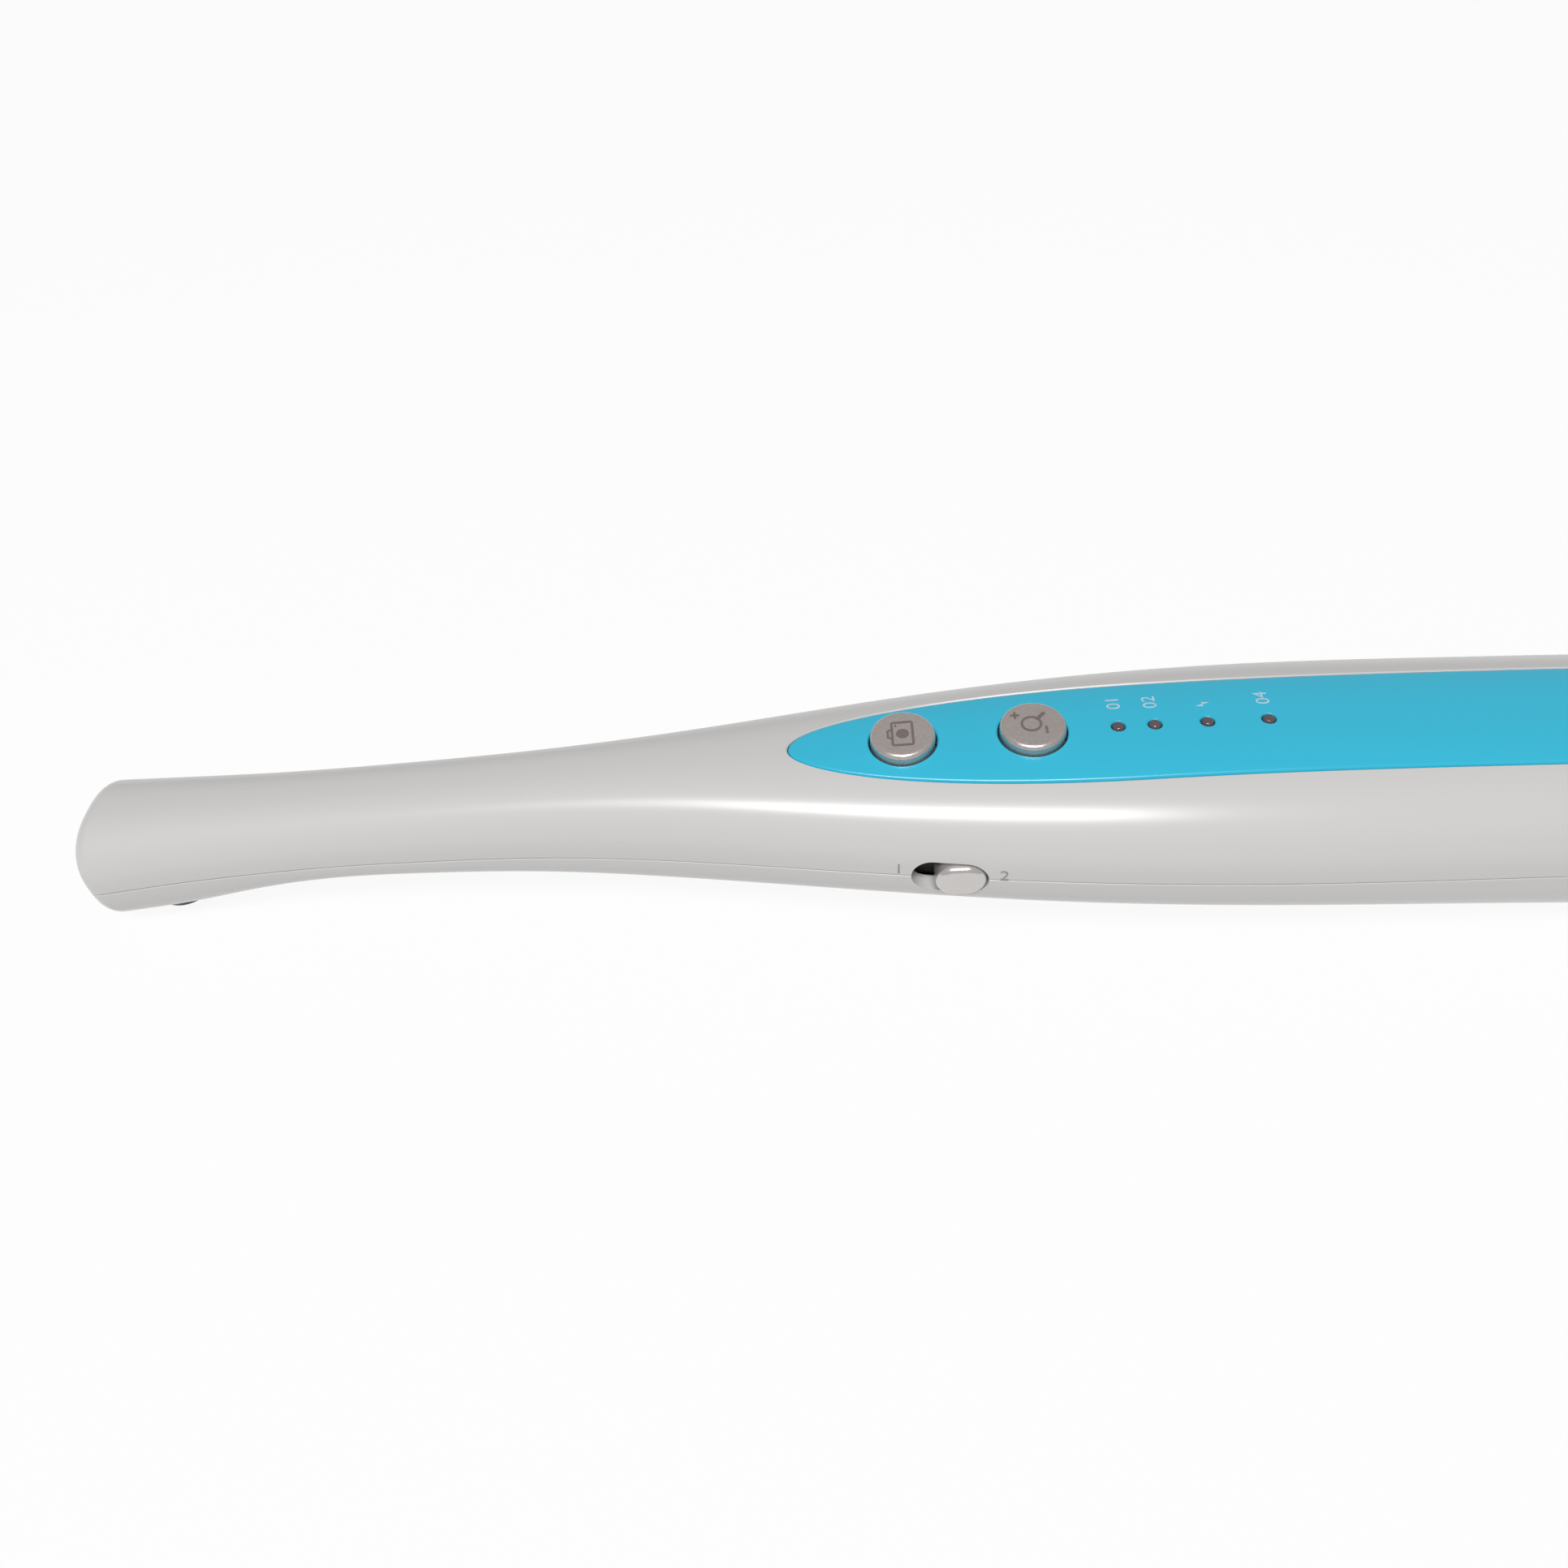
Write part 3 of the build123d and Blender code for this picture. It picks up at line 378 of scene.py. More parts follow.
@dataclass(frozen=True)
class PearlPaint(Finish):
    """Silver paint with fine pearl flakes under clear lacquer."""

    pale: Colour
    deep: Colour
    metallic: float = 0.75
    rough: float = 0.36
    flake: float = 0.17
    contrast: float = 0.45
    relief: float = 0.006
    coat: float = 0.2
    coat_rough: float = 0.3

    def surface(self, tree: Tree) -> dict[str, Any]:
        """Flakes differ in brightness and tilt, over slow clouds of thicker and thinner paint.

        Args:
            tree: The material's tree.

        Returns:
            Values or wires by the principled surface's socket names.
        """
        flakes = tree.cells(self.flake)
        clouds = tree.noise(14.0, 3.0)
        middle = flakes.spread(0.0, 1.0, 0.5 - self.contrast / 2, 0.5 + self.contrast / 2)
        level = middle + clouds.spread(0.3, 0.7, -0.12, 0.12)
        colour = tree.blend(level, full(self.deep), full(self.pale))
        rough = flakes.spread(0.0, 1.0, self.rough - 0.05, self.rough + 0.05)
        peel = tree.noise(0.9, 1.0) * 0.35 + flakes * 0.65
        return {
            "Base Color": colour,
            "Metallic": self.metallic,
            "Roughness": rough,
            "Coat Weight": self.coat,
            "Coat Roughness": self.coat_rough,
            "Normal": tree.bump(peel, self.relief),
        }


@dataclass(frozen=True)
class GlossMoulding(Finish):
    """Coloured plastic, polished in its mould, with a faint waviness."""

    colour: Colour
    rough: float = 0.12
    grain: float = 2.5
    shade: float = 0.04
    wave: float = 0.002
    coat: float = 0.0
    metallic: float = 0.0

    def surface(self, tree: Tree) -> dict[str, Any]:
        """Colour and gloss drift a little along the moulding, and its face is not quite even.

        Args:
            tree: The material's tree.

        Returns:
            Values or wires by the principled surface's socket names.
        """
        drift = tree.noise(self.grain * 6, 3.0)
        dark = tuple(value * (1 - self.shade * 2) for value in self.colour)
        colour = tree.blend(drift.spread(0.3, 0.7, 0.0, 1.0), full(dark), full(self.colour))
        rough = tree.noise(self.grain * 2, 2.0).spread(0.3, 0.7, self.rough * 0.8, self.rough * 1.25)
        return {
            "Base Color": colour,
            "Metallic": self.metallic,
            "Roughness": rough,
            "Coat Weight": self.coat,
            "Normal": tree.bump(tree.noise(self.grain, 1.0), self.wave),
        }


@dataclass(frozen=True)
class MattMoulding(Finish):
    """Plastic, rubber or foam with a fine spark-eroded grain."""

    colour: Colour
    rough: float = 0.55
    grain: float = 0.25
    depth: float = 0.01

    def surface(self, tree: Tree) -> dict[str, Any]:
        """A grain in the face, with painted shade that darkens its hollows.

        Args:
            tree: The material's tree.

        Returns:
            Values or wires by the principled surface's socket names.
        """
        grain = tree.noise(self.grain, 4.0)
        # dark is painted shade: the colour falls to it where the grain, which also sets the bump, is low.
        dark = tuple(value * 0.8 for value in self.colour)
        colour = tree.blend(grain.spread(0.35, 0.65, 0.0, 1.0), full(dark), full(self.colour))
        rough = grain.spread(0.3, 0.7, self.rough + 0.08, self.rough - 0.08)
        return {"Base Color": colour, "Roughness": rough, "Normal": tree.bump(grain, self.depth)}


@dataclass(frozen=True)
class TurnedMetal(Finish):
    """Metal with fine machining marks across its length."""

    colour: Colour
    rough: float = 0.3
    stretch: float = 12.0

    def surface(self, tree: Tree) -> dict[str, Any]:
        """Noise squeezed along X makes fine lines that run round the piece.

        Args:
            tree: The material's tree.

        Returns:
            Values or wires by the principled surface's socket names.
        """
        inputs = {"Vector": tree.place(), "Scale": (self.stretch, 1.0, 1.0)}
        squeezed = tree.add("ShaderNodeMapping", {}, inputs, "Vector")
        lines = tree.noise(1.2, 4.0, squeezed)
        dark = tuple(value * 0.86 for value in self.colour)
        colour = tree.blend(lines.spread(0.35, 0.65, 0.0, 1.0), full(dark), full(self.colour))
        rough = lines.spread(0.3, 0.7, self.rough - 0.07, self.rough + 0.07)
        return {"Base Color": colour, "Metallic": 1.0, "Roughness": rough, "Normal": tree.bump(lines, 0.003)}


@dataclass(frozen=True)
class ClearGlass(Finish):
    """Glass or clear plastic, tinted in its body."""

    tint: Colour
    index: float = 1.52
    rough: float = 0.02
    clear: float = 1.0

    def surface(self, tree: Tree) -> dict[str, Any]:
        """A clear body with the faintest smear on its face.

        Args:
            tree: The material's tree.

        Returns:
            Values or wires by the principled surface's socket names.
        """
        smear = tree.noise(3.0, 3.0)
        deep = tuple(value * 0.9 for value in self.tint)
        colour = tree.blend(smear.spread(0.3, 0.7, 0.0, 1.0), full(deep), full(self.tint))
        rough = smear.spread(0.45, 0.75, self.rough, self.rough + 0.05)
        return {
            "Base Color": colour,
            "Roughness": rough,
            "IOR": self.index,
            "Transmission Weight": self.clear,
        }


@dataclass(frozen=True)
class PrintedBoard(Finish):
    """Circuit board laminate with copper tracks under green lacquer."""

    lacquer: Colour
    track: Colour
    pitch: float = 0.9

    def surface(self, tree: Tree) -> dict[str, Any]:
        """Cell borders far from the cells' middles read as fine tracks under the lacquer.

        Args:
            tree: The material's tree.

        Returns:
            Values or wires by the principled surface's socket names.
        """
        inputs = {"Vector": tree.place(), "Scale": 1 / (self.pitch * MM)}
        distance = tree.add("ShaderNodeTexVoronoi", {"distance": "CHEBYCHEV"}, inputs, "Distance")
        tracks = distance.spread(0.42, 0.5, 0.0, 1.0)
        colour = tree.blend(tracks, full(self.lacquer), full(self.track))
        rough = tracks.spread(0.0, 1.0, 0.42, 0.3)
        return {"Base Color": colour, "Roughness": rough, "Normal": tree.bump(tracks, 0.02)}


class Finishes(Enum):
    """Every finish on the camera, by the piece of it that shows it best."""

    HOUSING = PearlPaint("pearl_paint", "pearl_paint", linear(206, 196, 193), linear(160, 150, 147))
    CAP = PearlPaint("button_pearl", "silver_button", linear(204, 195, 191), linear(176, 166, 162),
                     rough=0.3, contrast=0.25, relief=0.002)
    KNOB = PearlPaint("knob_pearl", "silver_knob", linear(214, 211, 209), linear(188, 184, 182),
                      rough=0.22, contrast=0.2, relief=0.001)
    PANEL = GlossMoulding("blue_panel", "blue_panel", linear(40, 178, 212), rough=0.13, coat=0.5)
    # The indicator domes' dark tint is painted shade: it stands in for the dark cavity behind the clear
    # plastic.
    LIGHT = ClearGlass("clear_with_painted_shade", "clear_plastic", linear(120, 105, 112), 1.49, 0.03, 0.45)
    GLASS = ClearGlass("lens_glass", "lens_glass", linear(236, 240, 244))
    RING = GlossMoulding("black_gloss", "black_gloss", linear(26, 26, 34), rough=0.1, coat=0.6)
    BLACK = MattMoulding("black_plastic", "black_plastic", linear(34, 34, 36))
    BARREL = TurnedMetal("black_metal", "black_metal", linear(48, 48, 52), rough=0.42)
    STEEL = TurnedMetal("bright_steel", "bright_steel", linear(205, 205, 208), rough=0.22)
    BOARD = PrintedBoard("circuit_board", "circuit_board", linear(22, 84, 52), linear(56, 118, 72))
    CHIP = MattMoulding("chip_black", "chip_black", linear(30, 30, 33), 0.5, 0.12, 0.004)
    LED = MattMoulding("led_chip", "led_chip", linear(238, 226, 150), 0.35, 0.1, 0.003)
    FLEX = GlossMoulding("flex_film", "flex_film", linear(196, 118, 40), rough=0.3, grain=0.6)
    CELL = GlossMoulding("cell_wrap", "cell_wrap", linear(52, 92, 156), rough=0.3, grain=4.0, wave=0.02)
    FOAM = MattMoulding("foam_pad", "foam_pad", linear(58, 58, 62), 0.9, 0.5, 0.08)
    INK = MattMoulding("sign_ink", "silver_button", linear(120, 106, 101), 0.5, 0.3, 0.002)
    PALE_INK = MattMoulding("pale_ink", "blue_panel", linear(190, 222, 232), 0.45, 0.3, 0.002)
    GREY_INK = MattMoulding("grey_ink", "pearl_paint", linear(152, 152, 158), 0.5, 0.3, 0.002)


# Form of the body

class SmoothLine:
    """A line with no sudden change of bend through given points: a natural cubic."""

    def __init__(self, places: Sequence[float], values: Sequence[float]) -> None:
        """Solves for the bend at each point from the jumps in slope between its neighbours.

        Args:
            places: Where the given points stand, in rising order.
            values: Their heights.
        """
        self.places, self.values = np.array(places), np.array(values)
        self.gaps = np.diff(self.places)
        slopes = np.diff(self.values) / self.gaps
        inner = np.diag(2 * (self.gaps[:-1] + self.gaps[1:]))
        inner += np.diag(self.gaps[1:-1], 1) + np.diag(self.gaps[1:-1], -1)
        self.bends = np.zeros(len(places))
        self.bends[1:-1] = np.linalg.solve(inner, 6 * np.diff(slopes))

    def __call__(self, place: Any) -> np.ndarray:
        """Height of the line: a straight blend of two points and a cubic share of their bends.

        Args:
            place: One or many places.

        Returns:
            The height at each.
        """
        place = np.asarray(place, float)
        step = np.clip(np.searchsorted(self.places, place, side="right") - 1, 0, len(self.gaps) - 1)
        gap = self.gaps[step]
        far = (place - self.places[step]) / gap
        near = 1 - far
        straight = near * self.values[step] + far * self.values[step + 1]
        bend = (near**3 - near) * self.bends[step] + (far**3 - far) * self.bends[step + 1]
        return straight + bend * gap**2 / 6


class Half(Enum):
    """The two halves of the housing."""

    UPPER = 1
    LOWER = -1


@dataclass(frozen=True)
class Section:
    """A cross-section of the housing at a distance from the nose."""

    at: float
    half_width: float
    top: float
    split: float
    bottom: float


@dataclass
class BodyForm:
    """Outer form of the housing: superellipse sections on smooth lines, rounded at both ends."""

    length: float = 205.0
    squareness: float = 2.5
    nose_round: float = 2.2
    tail_round: float = 4.5
    sections: list[Section] = field(default_factory=lambda: [
        Section(2.0, 6.75, 13.35, 6.8, 0.4),
        Section(10.0, 6.2, 13.8, 7.6, 1.4),
        Section(18.0, 5.85, 14.15, 8.25, 3.4),
        Section(26.0, 5.65, 14.65, 8.8, 4.7),
        Section(36.0, 5.7, 15.35, 9.3, 5.05),
        Section(48.0, 6.05, 16.25, 9.8, 4.85),
        Section(64.0, 7.55, 17.45, 10.3, 4.15),
        Section(82.0, 10.2, 18.65, 10.95, 3.85),
        Section(100.0, 12.3, 19.6, 11.35, 3.3),
        Section(120.0, 13.35, 20.2, 11.4, 2.6),
        Section(144.0, 13.3, 20.15, 11.2, 1.3),
        Section(175.0, 12.7, 19.2, 10.8, -0.3),
        Section(203.0, 10.9, 16.6, 9.9, 1.4),
    ])

    def __post_init__(self) -> None:
        """Draws the smooth lines through the sections."""
        places = [section.at for section in self.sections]
        self.half_width = SmoothLine(places, [section.half_width for section in self.sections])
        self.top = SmoothLine(places, [section.top for section in self.sections])
        self.split = SmoothLine(places, [section.split for section in self.sections])
        self.bottom = SmoothLine(places, [section.bottom for section in self.sections])

    def x(self, at: Any) -> np.ndarray:
        """X of a place counted from the nose."""
        return np.asarray(at, float) - self.length / 2

    def at(self, x: Any) -> np.ndarray:
        """Distance from the nose of a place on X."""
        return np.asarray(x, float) + self.length / 2

    def arc(self, share: Any) -> np.ndarray:
        """Height of the section's curve: 1 on the middle line, 0 at the widest point."""
        inside = 1 - np.minimum(np.abs(share), 1.0) ** self.squareness
        return np.maximum(inside, 0.0) ** (1 / self.squareness)

    def over(self, x: Any, y: Any, depth: float = 0.0) -> np.ndarray:
        """Height of the upper surface, or of the one that lies a depth under it.

        Args:
            x: Places on X.
            y: Places across.
            depth: How far the wanted surface lies inside the outer one.

        Returns:
            The heights.
        """
        at = self.at(x)
        rise = self.top(at) - self.split(at) - depth
        return self.split(at) + rise * self.arc(np.asarray(y) / (self.half_width(at) - depth))

    def under(self, x: Any, y: Any) -> np.ndarray:
        """Height of the lower surface."""
        at = self.at(x)
        fall = self.split(at) - self.bottom(at)
        return self.split(at) - fall * self.arc(np.asarray(y) / self.half_width(at))

    def side(self, x: Any, height: Any) -> np.ndarray:
        """Distance of the side from the middle plane at a height."""
        at, height = self.at(x), np.asarray(height, float)
        above = height - self.split(at)
        rise, fall = self.top(at) - self.split(at), self.split(at) - self.bottom(at)
        return self.half_width(at) * self.arc(above / np.where(above > 0, rise, fall))


@dataclass
class LocalFrame:
    """A frame on the body: an origin, a direction along it and one out of it."""

    origin: tuple[float, float, float]
    along: tuple[float, float, float]
    out: tuple[float, float, float]

    def place(self, points: np.ndarray) -> np.ndarray:
        """Points of this frame in the body's frame."""
        axes = np.array([self.along, np.cross(self.out, self.along), self.out])
        return np.asarray(points) @ axes + np.array(self.origin)

    def local(self, points: np.ndarray) -> np.ndarray:
        """Points of the body's frame in this one."""
        axes = np.array([self.along, np.cross(self.out, self.along), self.out])
        return (np.asarray(points) - np.array(self.origin)) @ axes.T


def revolved(profile: Sequence[tuple[float, float]], where: LocalFrame, across: tuple[float, float] = (0, 0),
             count: int = 96) -> np.ndarray:
    """Rings of a turned form: each point of the profile carried round the frame's axis.

    Args:
        profile: Pairs of radius and height in millimetres.
        where: Frame whose outward axis is the axis of the form.
        across: Where the axis stands in that frame.
        count: Points round each ring.

    Returns:
        The rings, as rings by points by three.
    """
    radius, height = np.array(profile, float).T
    turn = 2 * np.pi * np.arange(count) / count
    x = across[0] + radius[:, None] * np.cos(turn)
    y = across[1] + radius[:, None] * np.sin(turn)
    return where.place(np.stack([x, y, np.repeat(height[:, None], count, 1)], -1))


def rounded(radius: float, height: float, edge: float, steps: int = 8) -> list[tuple[float, float]]:
    """Profile points of a quarter round from a flat top down to a side: radius and height."""
    turn = np.linspace(np.pi / 2, 0, steps + 1)
    return list(zip(radius - edge + edge * np.cos(turn), height - edge + edge * np.sin(turn)))


def stadium(length: float, width: float, count: int = 24) -> np.ndarray:
    """Outline of a slot with round ends: two half circles joined by straight sides."""
    turn = np.linspace(-np.pi / 2, np.pi / 2, count)
    reach = (length - width) / 2
    right = np.stack([reach + width / 2 * np.cos(turn), width / 2 * np.sin(turn)], -1)
    return np.concatenate([right, -right])


def rounded_box(length: float, width: float, corner: float, count: int = 8) -> np.ndarray:
    """Outline of a rectangle with round corners, a quarter circle at each.

    Args:
        length: Size along the first axis.
        width: Size along the second.
        corner: Radius of the corners.
        count: Points on each corner.

    Returns:
        Plan points round the outline.
    """
    quarter = np.linspace(0, np.pi / 2, count)
    arcs = []
    for turn, way_x, way_y in ((0, 1, 1), (1, -1, 1), (2, -1, -1), (3, 1, -1)):
        angle = quarter + turn * np.pi / 2
        middle = np.array([way_x * (length / 2 - corner), way_y * (width / 2 - corner)])
        arcs.append(middle + corner * np.stack([np.cos(angle), np.sin(angle)], -1))
    return np.concatenate(arcs)


# Housing

@dataclass
class PanelPlace:
    """Plan of the control panel: a long half ellipse, straight sides and a shorter half ellipse."""

    start: float = 74.2
    end: float = 172.0
    half_width: float = 6.5
    nose: float = 34.0
    rear: float = 14.0
    thickness: float = 0.9
    clearance: float = 0.08
    edge: float = 0.3
    lip: float = 0.14
    floor_gap: float = 0.02
    end_steps: int = 72
    side_steps: int = 60

    def outline(self, form: BodyForm, grow: float = 0.0) -> np.ndarray:
        """Plan points of the outline: half an ellipse, a side, half an ellipse and the other side.

        Args:
            form: The body that the panel lies on.
            grow: Distance by which the outline is grown on all sides.

        Returns:
            The points, as X and Y.
        """
        front, back = form.x(self.start + self.nose), form.x(self.end - self.rear)
        half = self.half_width + grow
        turn = np.linspace(-np.pi / 2, np.pi / 2, self.end_steps)
        step = np.linspace(0, 1, self.side_steps)[1:-1]
        tip = np.stack([front - (self.nose + grow) * np.cos(turn), half * np.sin(turn)], -1)
        far = np.stack([front + (back - front) * step, np.full(step.shape, half)], -1)
        foot = np.stack([back + (self.rear + grow) * np.cos(turn), -half * np.sin(turn)], -1)
        return np.concatenate([tip, far, foot, far[::-1] * (1, -1)])

    def inwards(self, form: BodyForm, outline: np.ndarray, shares: np.ndarray) -> np.ndarray:
        """Plan rings between the panel's middle line, at share 0, and an outline, at share 1."""
        middle = outline * (1, 0)
        front, back = form.x(self.start + self.nose), form.x(self.end - self.rear)
        middle[:, 0] = np.clip(middle[:, 0], front, back)
        return middle + (outline - middle) * shares[:, None, None]

    def lifted(self, form: BodyForm, plan: np.ndarray, drop: float = 0.0, depth: float = 0.0) -> np.ndarray:
        """Plan points set on the upper surface, or dropped under it."""
        height = form.over(plan[..., 0], plan[..., 1], depth) - drop
        return np.concatenate([plan, height[..., None]], -1)


@dataclass
class Housing:
    """Two painted halves that meet on a curved parting line."""

    form: BodyForm
    panel: PanelPlace
    wall: float = 1.6
    tail_wall: float = 2.4
    seam: float = 0.08
    seam_round: float = 0.1
    table: float = 0.0
    station: float = 1.0
    turns: int = 60

    def stations(self) -> tuple[np.ndarray, ...]:
        """Rows along the body: place, shrink and scale of each one.

        The flat ends are rows at one place whose scale runs between nothing and one. Each round is
        a quarter circle: at a turn t the row stands R(1 - cos t) from the end and is drawn in by
        R(1 - sin t).

        Returns:
            Places, shrinks and scales, one of each for every row.
        """
        form = self.form
        flat = np.linspace(0, 1, 7)[:-1]
        nose = np.linspace(0, np.pi / 2, 13)
        tail = np.linspace(np.pi / 2, 0, 17)
        straight = form.length - form.nose_round - form.tail_round
        body = form.nose_round + straight * np.linspace(0, 1, int(straight / self.station))[1:-1]
        at = [0 * flat, form.nose_round * (1 - np.cos(nose)), body,
              form.length - form.tail_round * (1 - np.cos(tail)), form.length + 0 * flat]
        shrink = [form.nose_round + 0 * flat, form.nose_round * (1 - np.sin(nose)), 0 * body,
                  form.tail_round * (1 - np.sin(tail)), form.tail_round + 0 * flat]
        scale = [flat, 1 + 0 * nose, 1 + 0 * body, 1 + 0 * tail, flat[::-1]]
        return tuple(np.concatenate(part) for part in (at, shrink, scale))

    def half_rings(self, half: Half) -> np.ndarray:
        """Rings of one half: over the outside from side to side, and back along the inside.

        A point of the curve stands at half_width * cos(turn)^(2/n) across and at
        rise * sin(turn)^(2/n) above the parting line, n being the squareness. Next to the parting
        line the outside is drawn in by a small quarter round.

        Args:
            half: Which half of the housing.

        Returns:
            The rings, as rings by points by three.
        """
        form = self.form
        at, shrink, scale = (row[:, None] for row in self.stations())
        near = np.array([0.0, 0.0012, 0.003, 0.006, 0.012, 0.022, 0.04]) ** (form.squareness / 2)
        quarter = np.concatenate([np.arcsin(near), np.linspace(0.09, np.pi / 2, self.turns // 2)])
        turn = np.concatenate([quarter, np.pi - quarter[-2::-1]])
        across = np.sign(np.cos(turn)) * np.abs(np.cos(turn)) ** (2 / form.squareness)
        rise = np.abs(np.sin(turn)) ** (2 / form.squareness)
        split = form.split(at) - (self.seam if half is Half.LOWER else 0.0)
        edge = form.top(at) if half is Half.UPPER else form.bottom(at)
        reach = (np.abs(edge - split) - shrink) * scale
        height = reach * rise
        inside = np.clip(self.seam_round - height, 0, self.seam_round)
        draw = (self.seam_round - np.sqrt(self.seam_round**2 - inside**2)) * np.minimum(scale * 4, 1)
        y = np.sign(across) * np.maximum((form.half_width(at) - shrink) * scale * np.abs(across) - draw, 0)
        outer = np.stack([form.x(at) + 0 * y, y, split + half.value * height], -1)
        inner_at = self.wall + (form.length - self.wall - self.tail_wall) * at / form.length
        flat = np.minimum(scale, 1)
        back = turn[::-3]
        across = np.sign(np.cos(back)) * np.abs(np.cos(back)) ** (2 / form.squareness)
        rise = np.abs(np.sin(back)) ** (2 / form.squareness)
        edge = form.top(inner_at) if half is Half.UPPER else form.bottom(inner_at)
        low = form.split(inner_at) - (self.seam if half is Half.LOWER else 0.0)
        reach = (np.abs(edge - low) - self.wall - shrink * 0.6) * flat
        y = (form.half_width(inner_at) - self.wall - shrink * 0.6) * flat * across
        inner = np.stack([form.x(inner_at) + 0 * y, y, low + half.value * reach * rise], -1)
        outer[..., 2] = np.maximum(outer[..., 2], self.table)
        return np.concatenate([outer, inner], 1)

    def pocket_cutter(self) -> bpy.types.Object:
        """Volume of the panel's pocket, with a small sloping lip at its mouth."""
        form, panel = self.form, self.panel
        plan = panel.outline(form)
        shares = np.array([0.0, 0.35, 0.7, 1.0])
        floor = panel.lifted(form, panel.inwards(form, plan, shares), depth=panel.thickness)
        wall = panel.lifted(form, plan, panel.lip)[None]
        flare = panel.lifted(form, panel.outline(form, panel.lip * 3), -panel.lip * 2)[None]
        lid = panel.inwards(form, flare[0, :, :2], shares[::-1])
        lid = np.concatenate([lid, np.full((*lid.shape[:2], 1), form.top(120.0) + 3)], -1)
        return from_rings("pocket_cutter", np.concatenate([floor, wall, flare, lid]))

    def make(self, half: Half, name: str, cutters: Sequence[bpy.types.Object]) -> bpy.types.Object:
        """One half with its openings cut, which stands for its CAD node.

        Args:
            half: Which half.
            name: Name of the piece.
            cutters: Closed volumes to take out.

        Returns:
            The painted piece.
        """
        piece = from_rings(name, self.half_rings(half))
        cut(piece, cutters)
        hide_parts("upper_shell" if half is Half.UPPER else "lower_shell")
        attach(piece, "housing")
        Finishes.HOUSING.value.dress(piece)
        return piece


# Signs

Flat = tuple[np.ndarray, list[list[int]]]


def ribbon(path: np.ndarray, width: float, closed: bool = False) -> Flat:
    """A stroke of even width along a path, with round ends unless it is closed.

    Each point of the path gives two, half the width to either side of it along the path's normal.
    At a round end the half width shrinks as the root of (1 - share squared).

    Args:
        path: Plan points in millimetres.
        width: Width of the stroke.
        closed: Whether the path returns to its start.

    Returns:
        Plan points and faces.
    """
    path = np.asarray(path, float)
    half = np.full(len(path), width / 2)
    if not closed:
        turn = np.linspace(0, np.pi / 2, 6)[:-1]
        start = (path[0] - path[1]) / np.linalg.norm(path[0] - path[1])
        end = (path[-1] - path[-2]) / np.linalg.norm(path[-1] - path[-2])
        head = path[0] + start * (width / 2 * np.cos(turn))[:, None]
        tail = path[-1] + end * (width / 2 * np.cos(turn[::-1]))[:, None]
        path = np.concatenate([head, path, tail])
        half = np.concatenate([width / 2 * np.sin(turn) + 1e-4, half, width / 2 * np.sin(turn[::-1]) + 1e-4])
        ahead, behind = np.roll(path, -1, 0), np.roll(path, 1, 0)
        ahead[-1], behind[0] = path[-1], path[0]
    else:
        ahead, behind = np.roll(path, -1, 0), np.roll(path, 1, 0)
    way = ahead - behind
    way /= np.linalg.norm(way, axis=1, keepdims=True)
    normal = np.stack([-way[:, 1], way[:, 0]], -1) * half[:, None]
    points = np.concatenate([path + normal, path - normal])
    count = len(path)
    step = np.arange(count if closed else count - 1)
    after = (step + 1) % count
    return points, np.stack([count + step, count + after, after, step], -1).tolist()


def arc_path(radius: float, start: float = 0.0, end: float = 360.0, middle: tuple[float, float] = (0, 0),
             count: int = 40) -> np.ndarray:
    """Points on a circle between two angles in degrees. A full circle leaves out its last point."""
    whole = abs(end - start) >= 360
    turn = np.radians(np.linspace(start, end, count + 1)[:-1] if whole else np.linspace(start, end, count))
    return np.array(middle) + radius * np.stack([np.cos(turn), np.sin(turn)], -1)


def line_path(start: tuple[float, float], end: tuple[float, float], count: int = 6) -> np.ndarray:
    """Evenly spaced points on a straight line."""
    return np.array(start) + np.linspace(0, 1, count)[:, None] * (np.array(end) - np.array(start))


def disc(radius: float, middle: tuple[float, float] = (0, 0), count: int = 32) -> Flat:
    """A filled circle as a fan about its middle."""
    points = np.concatenate([np.array([middle]), arc_path(radius, middle=middle, count=count)])
    step = np.arange(count)
    return points, np.stack([0 * step, step + 1, (step + 1) % count + 1], -1).tolist()


def polygon(points: Sequence[tuple[float, float]]) -> Flat:
    """A filled outline."""
    return np.array(points, float), [list(range(len(points)))]


def lettered(text: str, size: float) -> Flat:
    """Plain numbers set in the built-in typeface, centred on the origin.

    Args:
        text: The numbers.
        size: Size of the type in millimetres.

    Returns:
        Plan points and faces.
    """
    curve = bpy.data.curves.new("numbers", "FONT")
    curve.body, curve.size, curve.resolution_u = text, size, 4
    holder = new_piece("numbers", curve)
    bpy.context.view_layer.update()
    mesh = bpy.data.meshes.new_from_object(holder.evaluated_get(bpy.context.evaluated_depsgraph_get()))
    points = np.zeros(len(mesh.vertices) * 3)
    mesh.vertices.foreach_get("co", points)
    points = points.reshape(-1, 3)[:, :2]
    points -= (points.max(0) + points.min(0)) / 2
    faces = [list(face.vertices) for face in mesh.polygons]
    bpy.data.objects.remove(holder)
    bpy.data.curves.remove(curve)
    bpy.data.meshes.remove(mesh)
    return points, faces


